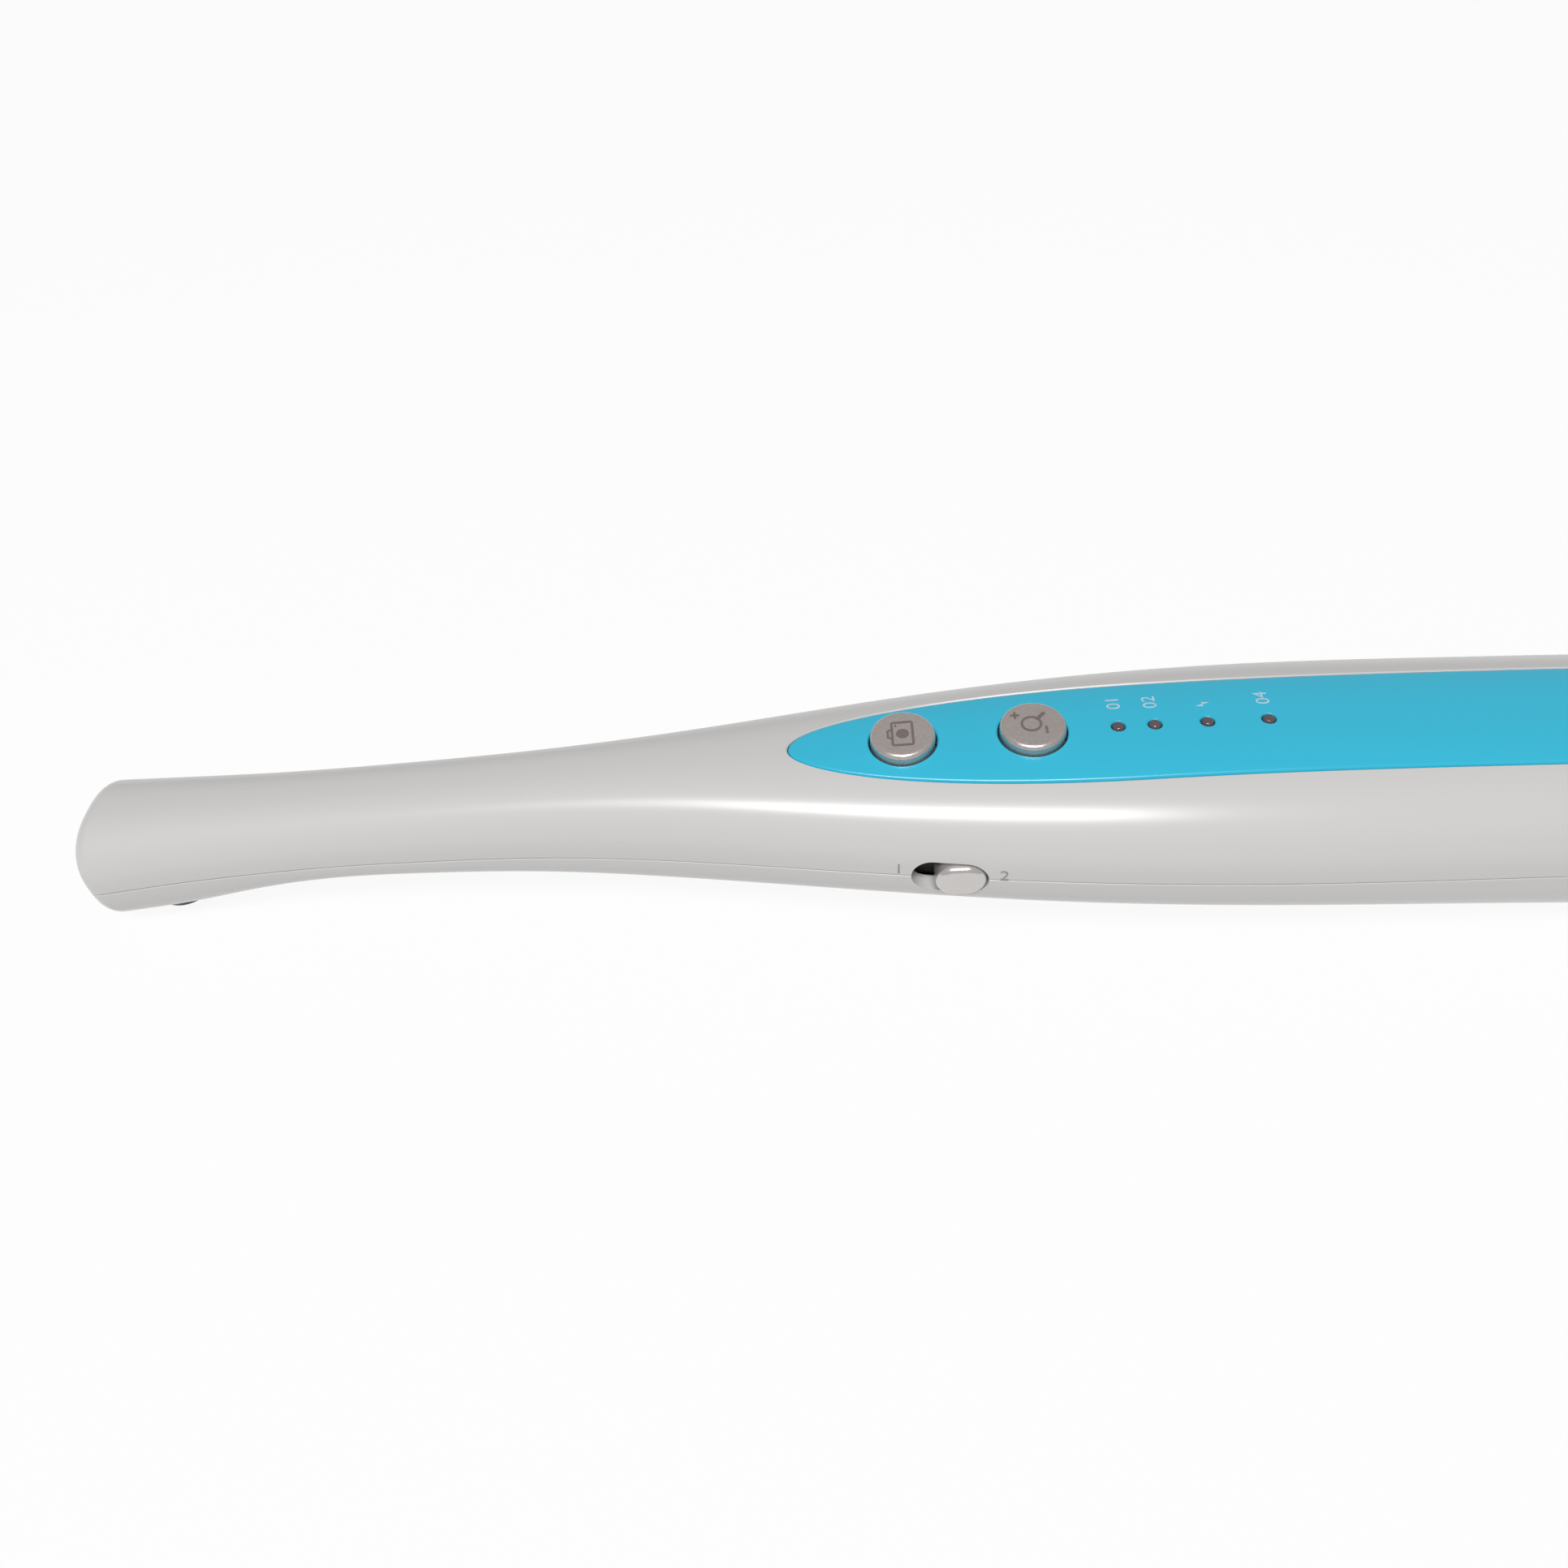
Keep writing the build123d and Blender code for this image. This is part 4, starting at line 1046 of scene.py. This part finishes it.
def printed(name: str, shapes: Sequence[Flat], place: Callable[[np.ndarray], np.ndarray],
            finish: Finishes, body: str, lift: float = 0.012, thick: float = 0.016) -> bpy.types.Object:
    """A printed sign: flat shapes carried onto a surface, with the thickness of a coat of ink.

    Args:
        name: Name of the piece.
        shapes: Flat shapes in millimetres.
        place: Carries plan points, with their lift as a third number, onto the surface.
        finish: The ink.
        body: The body that it rides on.
        lift: Height of the ink's lower face over the surface.
        thick: Thickness of the ink.

    Returns:
        The piece.
    """
    points, faces, start = [], [], 0
    for flat, made in shapes:
        points.append(flat)
        faces += [[index + start for index in face] for face in made]
        start += len(flat)
    flat = np.concatenate(points)
    lifted = place(np.concatenate([flat, np.full((len(flat), 1), lift)], -1))
    mesh = bpy.data.meshes.new(name)
    mesh.from_pydata((lifted * MM).tolist(), [], faces)
    piece = new_piece(name, mesh)
    solid = piece.modifiers.new("ink", "SOLIDIFY")
    solid.thickness, solid.offset = thick * MM, 1.0
    applied(piece)
    finish.value.dress(piece)
    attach(piece, body)
    return piece


# Control panel, buttons, indicators

@dataclass
class ControlPanel:
    """The blue panel with its holes, two buttons and a row of four indicators."""

    form: BodyForm
    plan: PanelPlace
    capture_at: float = 85.6
    zoom_at: float = 98.2
    hole: float = 3.4
    cap: float = 3.2
    proud: float = 1.0
    cap_edge: float = 0.5
    dish: float = 0.06
    cap_bottom: float = -3.5
    flange_top: float = -2.7
    flange: float = 4.1
    light_places: tuple[float, ...] = (106.4, 109.9, 114.9, 120.7)
    light_hole: float = 0.68
    chamfer: float = 0.12
    cut_low: float = -5.0
    stroke: float = 0.24
    glass: float = 0.92
    number: float = 1.9
    ink_lift: float = 0.015

    def __post_init__(self) -> None:
        """Stands the panel's frame on the surface at the capture button, facing the zoom button."""
        form = self.form
        rise = float(form.top(self.zoom_at) - form.top(self.capture_at))
        tilt = math.atan2(rise, self.zoom_at - self.capture_at)
        origin = (float(form.x(self.capture_at)), 0.0, float(form.top(self.capture_at)))
        along, out = (math.cos(tilt), 0, math.sin(tilt)), (-math.sin(tilt), 0, math.cos(tilt))
        self.frame = LocalFrame(origin, along, out)
        self.spacing = math.hypot(rise, self.zoom_at - self.capture_at)

    def light_points(self) -> np.ndarray:
        """Each indicator's place in the panel's frame."""
        at = np.array(self.light_places)
        points = np.stack([self.form.x(at), 0 * at, self.form.top(at)], -1)
        return self.frame.local(points)

    def hole_cutters(self) -> list[bpy.types.Object]:
        """Volumes of the holes, each with a small chamfer where it meets the face."""
        cutters = []
        holes = [(0.0, 0.0, self.hole), (self.spacing, 0.0, self.hole)]
        holes += [(float(x), float(z), self.light_hole) for x, _, z in self.light_points()]
        for index, (across, height, radius) in enumerate(holes):
            mouth = radius + self.chamfer
            profile = [(0, self.cut_low), (radius, self.cut_low), (radius, height - self.chamfer)]
            profile += [(mouth + 1, height + 1), (0, height + 1)]
            cutters.append(from_rings(f"hole_{index}", revolved(profile, self.frame, (across, 0.0), 72)))
        return cutters

    def make_panel(self) -> bpy.types.Object:
        """The panel: rings from the middle line out, over a rolled edge, down its wall and back."""
        form, plan = self.form, self.plan
        turn = np.linspace(np.pi / 2, 0, 7)
        grows = -plan.clearance - plan.edge * (1 - np.cos(turn))
        drops = plan.edge * (1 - np.sin(turn))
        shares = 1 - np.linspace(1, 0, 26)[:-1] ** 1.3
        top = plan.lifted(form, plan.inwards(form, plan.outline(form, grows[0]), shares))
        roll = [plan.lifted(form, plan.outline(form, grow), drop)[None] for grow, drop in zip(grows, drops)]
        foot = plan.outline(form, -plan.clearance)
        back = plan.inwards(form, foot, np.array([1.0, 0.6, 0.3, 0.0]))
        under = plan.lifted(form, back, depth=plan.thickness - plan.floor_gap)
        piece = from_rings("control_panel_face", np.concatenate([top, *roll, under]))
        cut(piece, self.hole_cutters())
        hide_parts("control_panel")
        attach(piece, "housing")
        Finishes.PANEL.value.dress(piece)
        return piece

    def make_button(self, name: str, node: str, body: str, across: float) -> bpy.types.Object:
        """A round cap with a dished top, a rolled rim and its flange below.

        Args:
            name: Name of the piece.
            node: The CAD node that it stands for.
            body: The body that it rides on.
            across: Its distance along the panel from the capture button.

        Returns:
            The dressed cap.
        """
        dish = [(share * (self.cap - self.cap_edge), self.proud - self.dish * (1 - share**2))
                for share in np.linspace(0, 1, 14)[:-1]]
        profile = dish + rounded(self.cap, self.proud, self.cap_edge)
        profile += [(self.cap, self.flange_top), (self.flange, self.flange_top)]
        profile += [(self.flange, self.cap_bottom), (0, self.cap_bottom)]
        piece = from_rings(name, revolved(profile, self.frame, (across, 0.0)))
        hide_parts(node)
        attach(piece, body)
        Finishes.CAP.value.dress(piece)
        return piece

    def on_cap(self, across: float) -> Callable[[np.ndarray], np.ndarray]:
        """Carries plan points onto a cap's dished top.

        Args:
            across: The cap's distance along the panel from the capture button.

        Returns:
            A function from plan points with a lift to points of the body's frame.
        """
        def place(points: np.ndarray) -> np.ndarray:
            """Sets each point over the dish, which sinks by the square of the distance."""
            share = np.linalg.norm(points[:, :2], axis=1) / (self.cap - self.cap_edge)
            height = self.proud - self.dish * (1 - share**2) + points[:, 2]
            return self.frame.place(np.stack([points[:, 0] + across, points[:, 1], height], -1))
        return place

    def camera_sign(self) -> list[Flat]:
        """A small camera seen from its front, its top towards the head."""
        body = rounded_box(2.0, 3.1, 0.2)
        hump = np.array([(-1.0, -0.62), (-1.42, -0.45), (-1.42, 0.45), (-1.0, 0.62)])
        lens, lamp = disc(0.62), disc(0.13, (-0.62, 1.12), 12)
        return [ribbon(body, self.stroke, True), ribbon(hump, self.stroke), lens, lamp]

    def zoom_sign(self) -> list[Flat]:
        """A magnifying glass between a plus and a minus."""
        x, y = middle = (-0.15, 0.1)
        reach = self.glass / math.sqrt(2)
        handle = line_path((x + reach, y + reach), (x + reach * 2, y + reach * 2))
        return [
            ribbon(arc_path(self.glass, middle=middle), self.stroke, True),
            ribbon(handle, self.stroke * 1.6),
            ribbon(line_path((-1.95, 1.35), (-1.25, 1.35)), self.stroke),
            ribbon(line_path((-1.6, 1.0), (-1.6, 1.7)), self.stroke),
            ribbon(line_path((1.2, -1.25), (1.2, -0.45)), self.stroke),
        ]

    def on_panel(self, at: float, y: float, turn: float = 90.0) -> Callable[[np.ndarray], np.ndarray]:
        """Carries plan points onto the panel.

        Args:
            at: Distance of the sign's middle from the nose.
            y: Its distance from the middle plane.
            turn: Its turn in degrees.

        Returns:
            A function from plan points with a lift to points of the body's frame.
        """
        angle = math.radians(turn)

        def place(points: np.ndarray) -> np.ndarray:
            """Turns the points about the sign's middle and sets them on the surface."""
            x = float(self.form.x(at)) + points[:, 0] * math.cos(angle) - points[:, 1] * math.sin(angle)
            across = y + points[:, 0] * math.sin(angle) + points[:, 1] * math.cos(angle)
            return np.stack([x, across, self.form.over(x, across) + points[:, 2]], -1)
        return place

    def make_signs(self) -> list[bpy.types.Object]:
        """Signs on the caps and plain numbers and a charging flash beside the indicators."""
        made = [
            printed("camera_sign", self.camera_sign(), self.on_cap(0.0), Finishes.INK, "capture_button"),
            printed("zoom_sign", self.zoom_sign(), self.on_cap(self.spacing), Finishes.INK, "zoom_button"),
        ]
        flash = [(0.75, 0.28), (-0.1, 0.34), (0.02, 0.06), (-0.75, -0.2), (0.1, -0.3), (-0.04, -0.02)]
        marks = [
            (lettered("01", self.number), 3.1, 90.0),
            (lettered("02", self.number), 3.1, 90.0),
            (polygon(flash), 2.4, 180.0),
            (lettered("04", self.number), 2.9, 90.0),
        ]
        for index, (at, (shape, y, turn)) in enumerate(zip(self.light_places, marks), 1):
            name, place = f"indicator_mark_{index}", self.on_panel(at, y, turn)
            made.append(printed(name, [shape], place, Finishes.PALE_INK, "housing", self.ink_lift))
        return made

    def make(self) -> list[bpy.types.Object]:
        """The panel with everything on it."""
        guide = smoothed_copy("indicator_light_guide", "indicator_domes")
        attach(guide, "housing")
        Finishes.LIGHT.value.dress(guide)
        return [
            self.make_panel(),
            guide,
            self.make_button("capture_cap", "capture_button", "capture_button", 0.0),
            self.make_button("zoom_cap", "zoom_button", "zoom_button", self.spacing),
            *self.make_signs(),
        ]


# Slide switch

@dataclass
class SlideSwitch:
    """The thumb piece on the near side, in a slot with round ends across the parting line."""

    form: BodyForm
    at: float = 89.6
    height: float = 11.05
    slot: tuple[float, float] = (7.4, 4.2)
    knob: float = 5.0
    clearance: float = 0.15
    proud: float = 0.7
    reach_in: float = 2.4
    edge: float = 0.7
    crown: float = 0.05
    number: float = 1.9
    number_rise: float = 0.9

    def __post_init__(self) -> None:
        """Stands the switch's frame on the side, its outward axis towards -Y."""
        self.side = float(self.form.side(self.form.x(self.at), self.height))
        origin = (float(self.form.x(self.at)), -self.side, self.height)
        self.frame = LocalFrame(origin, (1, 0, 0), (0, -1, 0))
        self.knob_across = self.slot[0] / 2 - self.clearance - self.knob / 2

    def cutter(self) -> bpy.types.Object:
        """Volume of the slot through the wall."""
        outline = stadium(*self.slot)
        levels = np.array([-self.reach_in, self.reach_in])
        rings = [np.concatenate([outline, np.full((len(outline), 1), level)], -1) for level in levels]
        return from_rings("slot_cutter", self.frame.place(np.array(rings)), caps=True)

    def make(self) -> list[bpy.types.Object]:
        """The knob, rolled round its whole edge, and a plain number at each end of the slot.

        Each ring is the knob's outline drawn in by an inset, at a level out from the side. The roll is
        a quarter circle, and over the face the level rises by the crown times 1 - (1 - share)^2.
        """
        width = self.slot[1] - 2 * self.clearance
        face = width / 2 - self.edge
        turn = np.linspace(0, np.pi / 2, 10)
        rings = [(0.0, -self.reach_in)]
        rings += list(zip(self.edge * (1 - np.cos(turn)), self.proud - self.edge * (1 - np.sin(turn))))
        inner = np.linspace(self.edge, width / 2, 8)[1:]
        rings += list(zip(inner, self.proud + self.crown * (1 - (1 - (inner - self.edge) / face) ** 2)))
        stack = []
        for inset, level in rings:
            outline = stadium(self.knob - 2 * inset, width - 2 * inset) + (self.knob_across, 0)
            stack.append(np.concatenate([outline, np.full((len(outline), 1), level)], -1))
        knob = from_rings("slide_knob", self.frame.place(np.array(stack)), caps=True)
        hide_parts("mode_switch_knob")
        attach(knob, "mode_switch")
        Finishes.KNOB.value.dress(knob)
        made = [knob]
        for text, across in (("1", -4.9), ("2", 5.1)):
            shapes, place = [lettered(text, self.number)], self.on_side(across)
            made.append(printed(f"slide_mark_{text}", shapes, place, Finishes.GREY_INK, "housing"))
        return made

    def on_side(self, across: float) -> Callable[[np.ndarray], np.ndarray]:
        """Carries plan points onto the near side, upright.

        Args:
            across: Distance of the sign's middle from the slot's.

        Returns:
            A function from plan points with a lift to points of the body's frame.
        """
        def place(points: np.ndarray) -> np.ndarray:
            """Sets each point on the side at its own height."""
            x = self.frame.origin[0] + across + points[:, 0]
            z = self.height + self.number_rise + points[:, 1]
            return np.stack([x, -self.form.side(x, z) - points[:, 2], z], -1)
        return place


# Head and tail

@dataclass
class LensHead:
    """The black ring and window under the head, and the hole for the ring."""

    form: BodyForm
    at: float = 6.9
    radius: float = 3.6
    wall: float = 0.6
    lip: float = 0.4
    proud: float = 0.45
    depth: float = 1.9
    edge: float = 0.35
    clearance: float = 0.05
    window: float = 0.6
    window_sunk: float = 0.1
    bevel: float = 0.12
    pane_bevel: float = 0.05

    def __post_init__(self) -> None:
        """Stands the lens frame on the underside, its outward axis going into the head."""
        slope = float(self.form.bottom(self.at + 1) - self.form.bottom(self.at - 1))
        tilt = math.atan2(slope, 2)
        origin = (float(self.form.x(self.at)), 0.0, float(self.form.bottom(self.at)))
        along, out = (math.cos(tilt), 0, math.sin(tilt)), (-math.sin(tilt), 0, math.cos(tilt))
        self.frame = LocalFrame(origin, along, out)

    def cutter(self) -> bpy.types.Object:
        """Volume of the hole for the ring."""
        radius = self.radius + self.clearance
        profile = [(0, -2), (radius, -2), (radius, self.depth + 1), (0, self.depth + 1)]
        return from_rings("lens_cutter", revolved(profile, self.frame))

    def make(self) -> list[bpy.types.Object]:
        """The ring, rolled on its outer edge and bevelled on its inner one, and the window in it."""
        inner = self.radius - self.wall
        sill = -self.proud + self.window_sunk + self.lip
        turn = np.linspace(0, np.pi / 2, 7)
        ring = [(self.radius, self.depth)]
        ring += [(self.radius - self.edge * (1 - c), -self.proud + self.edge * (1 - s))
                 for c, s in zip(np.cos(turn), np.sin(turn))]
        ring += [(inner - self.lip + self.bevel, -self.proud), (inner - self.lip, -self.proud + self.bevel)]
        ring += [(inner - self.lip, sill), (inner, sill), (inner, self.depth), (self.radius, self.depth)]
        bezel = from_rings("lens_ring", revolved(ring, self.frame))
        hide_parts("lens_bezel")
        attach(bezel, "housing")
        Finishes.RING.value.dress(bezel)
        out = inner - self.clearance
        back, bevel = sill + self.window, self.pane_bevel
        pane = [(0, sill), (out - bevel, sill), (out, sill + bevel), (out, back - bevel)]
        pane += [(out - bevel, back), (0, back)]
        window = from_rings("lens_pane", revolved(pane, self.frame))
        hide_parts("lens_window")
        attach(window, "housing")
        Finishes.GLASS.value.dress(window)
        return [bezel, window]


@dataclass
class TailAndUnderside:
    """Openings that the tail and the underside need: the data socket's mouth and the screws' wells."""

    form: BodyForm
    socket: tuple[float, float] = (7.4, 2.6)
    room: float = 0.3
    socket_height: float = 10.2
    depth: float = 5.4
    screws: tuple[tuple[float, float], ...] = ((127.6, 8.4), (127.6, -8.4), (189.5, 0.0))
    well: float = 2.0
    sunk: float = 2.0
    bore: float = 1.1
    bore_depth: float = 11.0
    well_edge: float = 0.12
    mouth_edge: float = 0.2

    def socket_cutter(self) -> bpy.types.Object:
        """Volume of the socket's mouth, flared a little where it meets the tail."""
        end, edge = self.form.length / 2, self.mouth_edge
        rings = []
        for x, grow in ((end - self.depth, 0), (end - edge, 0), (end, edge), (end + 1, edge + 1)):
            width, height = (size + 2 * (self.room + grow) for size in self.socket)
            outline = rounded_box(width, height, height / 3)
            ring = [np.full(len(outline), x), outline[:, 0], self.socket_height + outline[:, 1]]
            rings.append(np.stack(ring, -1))
        return from_rings("socket_cutter", np.array(rings), caps=True)

    def well_cutters(self) -> list[bpy.types.Object]:
        """Volumes of the stepped screw wells."""
        made = []
        for index, (at, side) in enumerate(self.screws):
            x = float(self.form.x(at))
            low = float(self.form.under(x, side))
            frame_at = LocalFrame((x, side, low), (1, 0, 0), (0, 0, 1))
            mouth = self.well + self.well_edge
            profile = [(0, -2), (mouth + 2, -2), (mouth, 0), (self.well, self.well_edge)]
            profile += [(self.well, self.sunk), (self.bore, self.sunk)]
            profile += [(self.bore, self.bore_depth), (0, self.bore_depth)]
            made.append(from_rings(f"well_{index}", revolved(profile, frame_at, count=64)))
        return made


# Inner works

@dataclass
class InnerWorks:
    """Everything that the housing holds, each piece in its own finish."""

    turned: dict[str, Finishes] = field(default_factory=lambda: {
        "front_lens": Finishes.GLASS,
        "rear_lens": Finishes.GLASS,
        "lens_barrel": Finishes.BARREL,
        "housing_screws": Finishes.STEEL,
        "key_board_screws": Finishes.STEEL,
        "capture_plunger": Finishes.BLACK,
        "zoom_plunger": Finishes.BLACK,
        "battery": Finishes.CELL,
        "data_socket": Finishes.STEEL,
    })
    plain: dict[str, Finishes] = field(default_factory=lambda: {
        "lens_mount": Finishes.BLACK,
        "image_sensor": Finishes.CHIP,
        "sensor_board": Finishes.BOARD,
        "light_board": Finishes.BOARD,
        "head_leds": Finishes.LED,
        "indicator_leds": Finishes.LED,
        "key_board": Finishes.BOARD,
        "main_board": Finishes.BOARD,
        "image_processor": Finishes.CHIP,
        "wireless_module": Finishes.STEEL,
        "antenna": Finishes.CHIP,
        "battery_pads": Finishes.FOAM,
        "battery_tabs": Finishes.STEEL,
        "data_socket_tongue": Finishes.BLACK,
        "key_flex": Finishes.FLEX,
        "camera_flex": Finishes.FLEX,
        "flex_connector": Finishes.BLACK,
        "mode_switch_lever": Finishes.BLACK,
        "mode_switch_body": Finishes.BLACK,
        "capture_switch": Finishes.BLACK,
        "zoom_switch": Finishes.BLACK,
    })

    def make(self) -> list[bpy.types.Object]:
        """Smooths the round pieces and dresses all of them."""
        made = []
        for node, finish in self.turned.items():
            piece = smoothed_copy(node, node + "_smooth")
            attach(piece, frame["nodes"][node]["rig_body"])
            finish.value.dress(piece)
            made.append(piece)
        for node, finish in self.plain.items():
            piece = frame["nodes"][node]
            finish.value.dress(piece)
            made.append(piece)
        return made


# Studio

@dataclass
class Softbox:
    """A rectangular lamp: where it stands, what it points at, its size in metres and its power."""

    name: str
    place: tuple[float, float, float]
    aim: tuple[float, float, float]
    size: tuple[float, float]
    watts: float

    def make(self) -> bpy.types.Object:
        """The lamp, turned to its aim, its long side kept along X."""
        lamp = bpy.data.lights.new(self.name, "AREA")
        lamp.shape, lamp.size, lamp.size_y, lamp.energy = "RECTANGLE", self.size[0], self.size[1], self.watts
        holder = new_piece(self.name, lamp)
        holder.location = self.place
        way = np.array(self.aim) - np.array(self.place)
        back = -way / np.linalg.norm(way)
        right = np.cross((0.0, 1.0, 0.0), back) if abs(back[1]) < 0.9 else np.array((1.0, 0.0, 0.0))
        right /= np.linalg.norm(right)
        turn = np.eye(4)
        turn[:3, :3] = np.stack([right, np.cross(back, right), back], 1)
        turn[:3, 3] = self.place
        holder.matrix_world = Matrix(turn.tolist())
        return holder


@dataclass
class Studio:
    """A white floor that runs on to the horizon, a soft lamp and an even grey surround."""

    floor_size: float = 6.0
    floor_drop: float = 0.0001
    floor_glow: float = 0.93
    floor_colour: Colour = (0.8, 0.8, 0.8)
    surround: float = 0.15
    backdrop: float = 0.5
    lamps: tuple[Softbox, ...] = (
        Softbox("key_lamp", (-0.08, -0.37, 0.76), (-0.02, 0.0, 0.01), (0.42, 0.2), 6.5),
    )

    def make_floor(self) -> bpy.types.Object:
        """A flat sheet whose face glows to the eye but still takes the object's shadow."""
        half, low = self.floor_size / 2, float(CAD_BOX[0].z) - self.floor_drop
        mesh = bpy.data.meshes.new("floor")
        corners = [(-half, -half, low), (half, -half, low), (half, half, low), (-half, half, low)]
        mesh.from_pydata(corners, [], [(0, 1, 2, 3)])
        floor = new_piece("floor", mesh)
        made = bpy.data.materials.new("white_floor")
        made.use_nodes = True
        tree = Tree(made.node_tree)
        eye = tree.eye_ray()
        matt = tree.add("ShaderNodeBsdfDiffuse", {}, {"Color": full(self.floor_colour)})
        glow = tree.add("ShaderNodeEmission", {}, {"Color": full((1, 1, 1)), "Strength": 1.0})
        mixed = tree.add("ShaderNodeMixShader", {}, {0: eye * self.floor_glow, 1: matt, 2: glow})
        tree.add("ShaderNodeOutputMaterial", {}, {"Surface": mixed})
        mesh.materials.append(made)
        return floor

    def make_world(self) -> None:
        """An even surround: one level for the light and another for the eye, in gloss and glass too."""
        world = bpy.data.worlds.new("surround")
        bpy.context.scene.world = world
        world.use_nodes = True
        tree = Tree(world.node_tree)
        level = tree.eye_ray() * (self.backdrop - self.surround) + self.surround
        back = tree.add("ShaderNodeBackground", {}, {"Color": full((1, 1, 1)), "Strength": level})
        tree.add("ShaderNodeOutputWorld", {}, {"Surface": back})

    def make(self) -> None:
        """The floor, the surround and the lamps."""
        self.make_floor()
        self.make_world()
        for lamp in self.lamps:
            lamp.make()
        bpy.context.scene.view_settings.view_transform = "Standard"


@dataclass
class ViewCamera:
    """The camera that looks at the object as the photograph does."""

    place: tuple[float, float, float] = (-23.85, -84.5, 103.8)
    forward: tuple[float, float, float] = (-0.0403, 0.6813, -0.7309)
    right: tuple[float, float, float] = (0.9987, 0.0035, -0.0518)
    focal_pixels: float = 1500.0
    image_pixels: float = 1932.0
    sensor: float = 36.0

    def make(self) -> bpy.types.Object:
        """The camera, its axes squared up from its forward and right directions."""
        lens = bpy.data.cameras.new("photo_camera")
        lens.sensor_fit, lens.sensor_width = "AUTO", self.sensor
        lens.lens = self.focal_pixels / self.image_pixels * self.sensor
        lens.clip_start, lens.clip_end = 0.005, 20.0
        holder = new_piece("photo_camera", lens)
        back = -np.array(self.forward) / np.linalg.norm(self.forward)
        right = np.array(self.right) - back * np.dot(self.right, back)
        right /= np.linalg.norm(right)
        turn = np.eye(4)
        turn[:3, :3] = np.stack([right, np.cross(back, right), back], 1)
        turn[:3, 3] = np.array(self.place) * MM
        holder.matrix_world = Matrix(turn.tolist())
        bpy.context.scene.camera = holder
        return holder


def main() -> None:
    """Builds the camera's sub-assemblies in order and the studio round them."""
    logging.basicConfig(level=logging.INFO, format="%(message)s")
    form, plan = BodyForm(), PanelPlace()
    housing = Housing(form, plan)
    panel, switch = ControlPanel(form, plan), SlideSwitch(form)
    head, tail = LensHead(form), TailAndUnderside(form)
    upper_cutters = [housing.pocket_cutter(), *panel.hole_cutters(), switch.cutter(), tail.socket_cutter()]
    lower_cutters = [switch.cutter(), tail.socket_cutter(), head.cutter(), *tail.well_cutters()]
    made = [
        housing.make(Half.UPPER, "upper_housing", upper_cutters),
        housing.make(Half.LOWER, "lower_housing", lower_cutters),
        *panel.make(),
        *switch.make(),
        *head.make(),
        *InnerWorks().make(),
    ]
    for piece in made:
        LOG.info("%s: %d faces", piece.name, len(piece.data.polygons))
    Studio().make()
    ViewCamera().make()


if __name__ == "__main__":
    main()
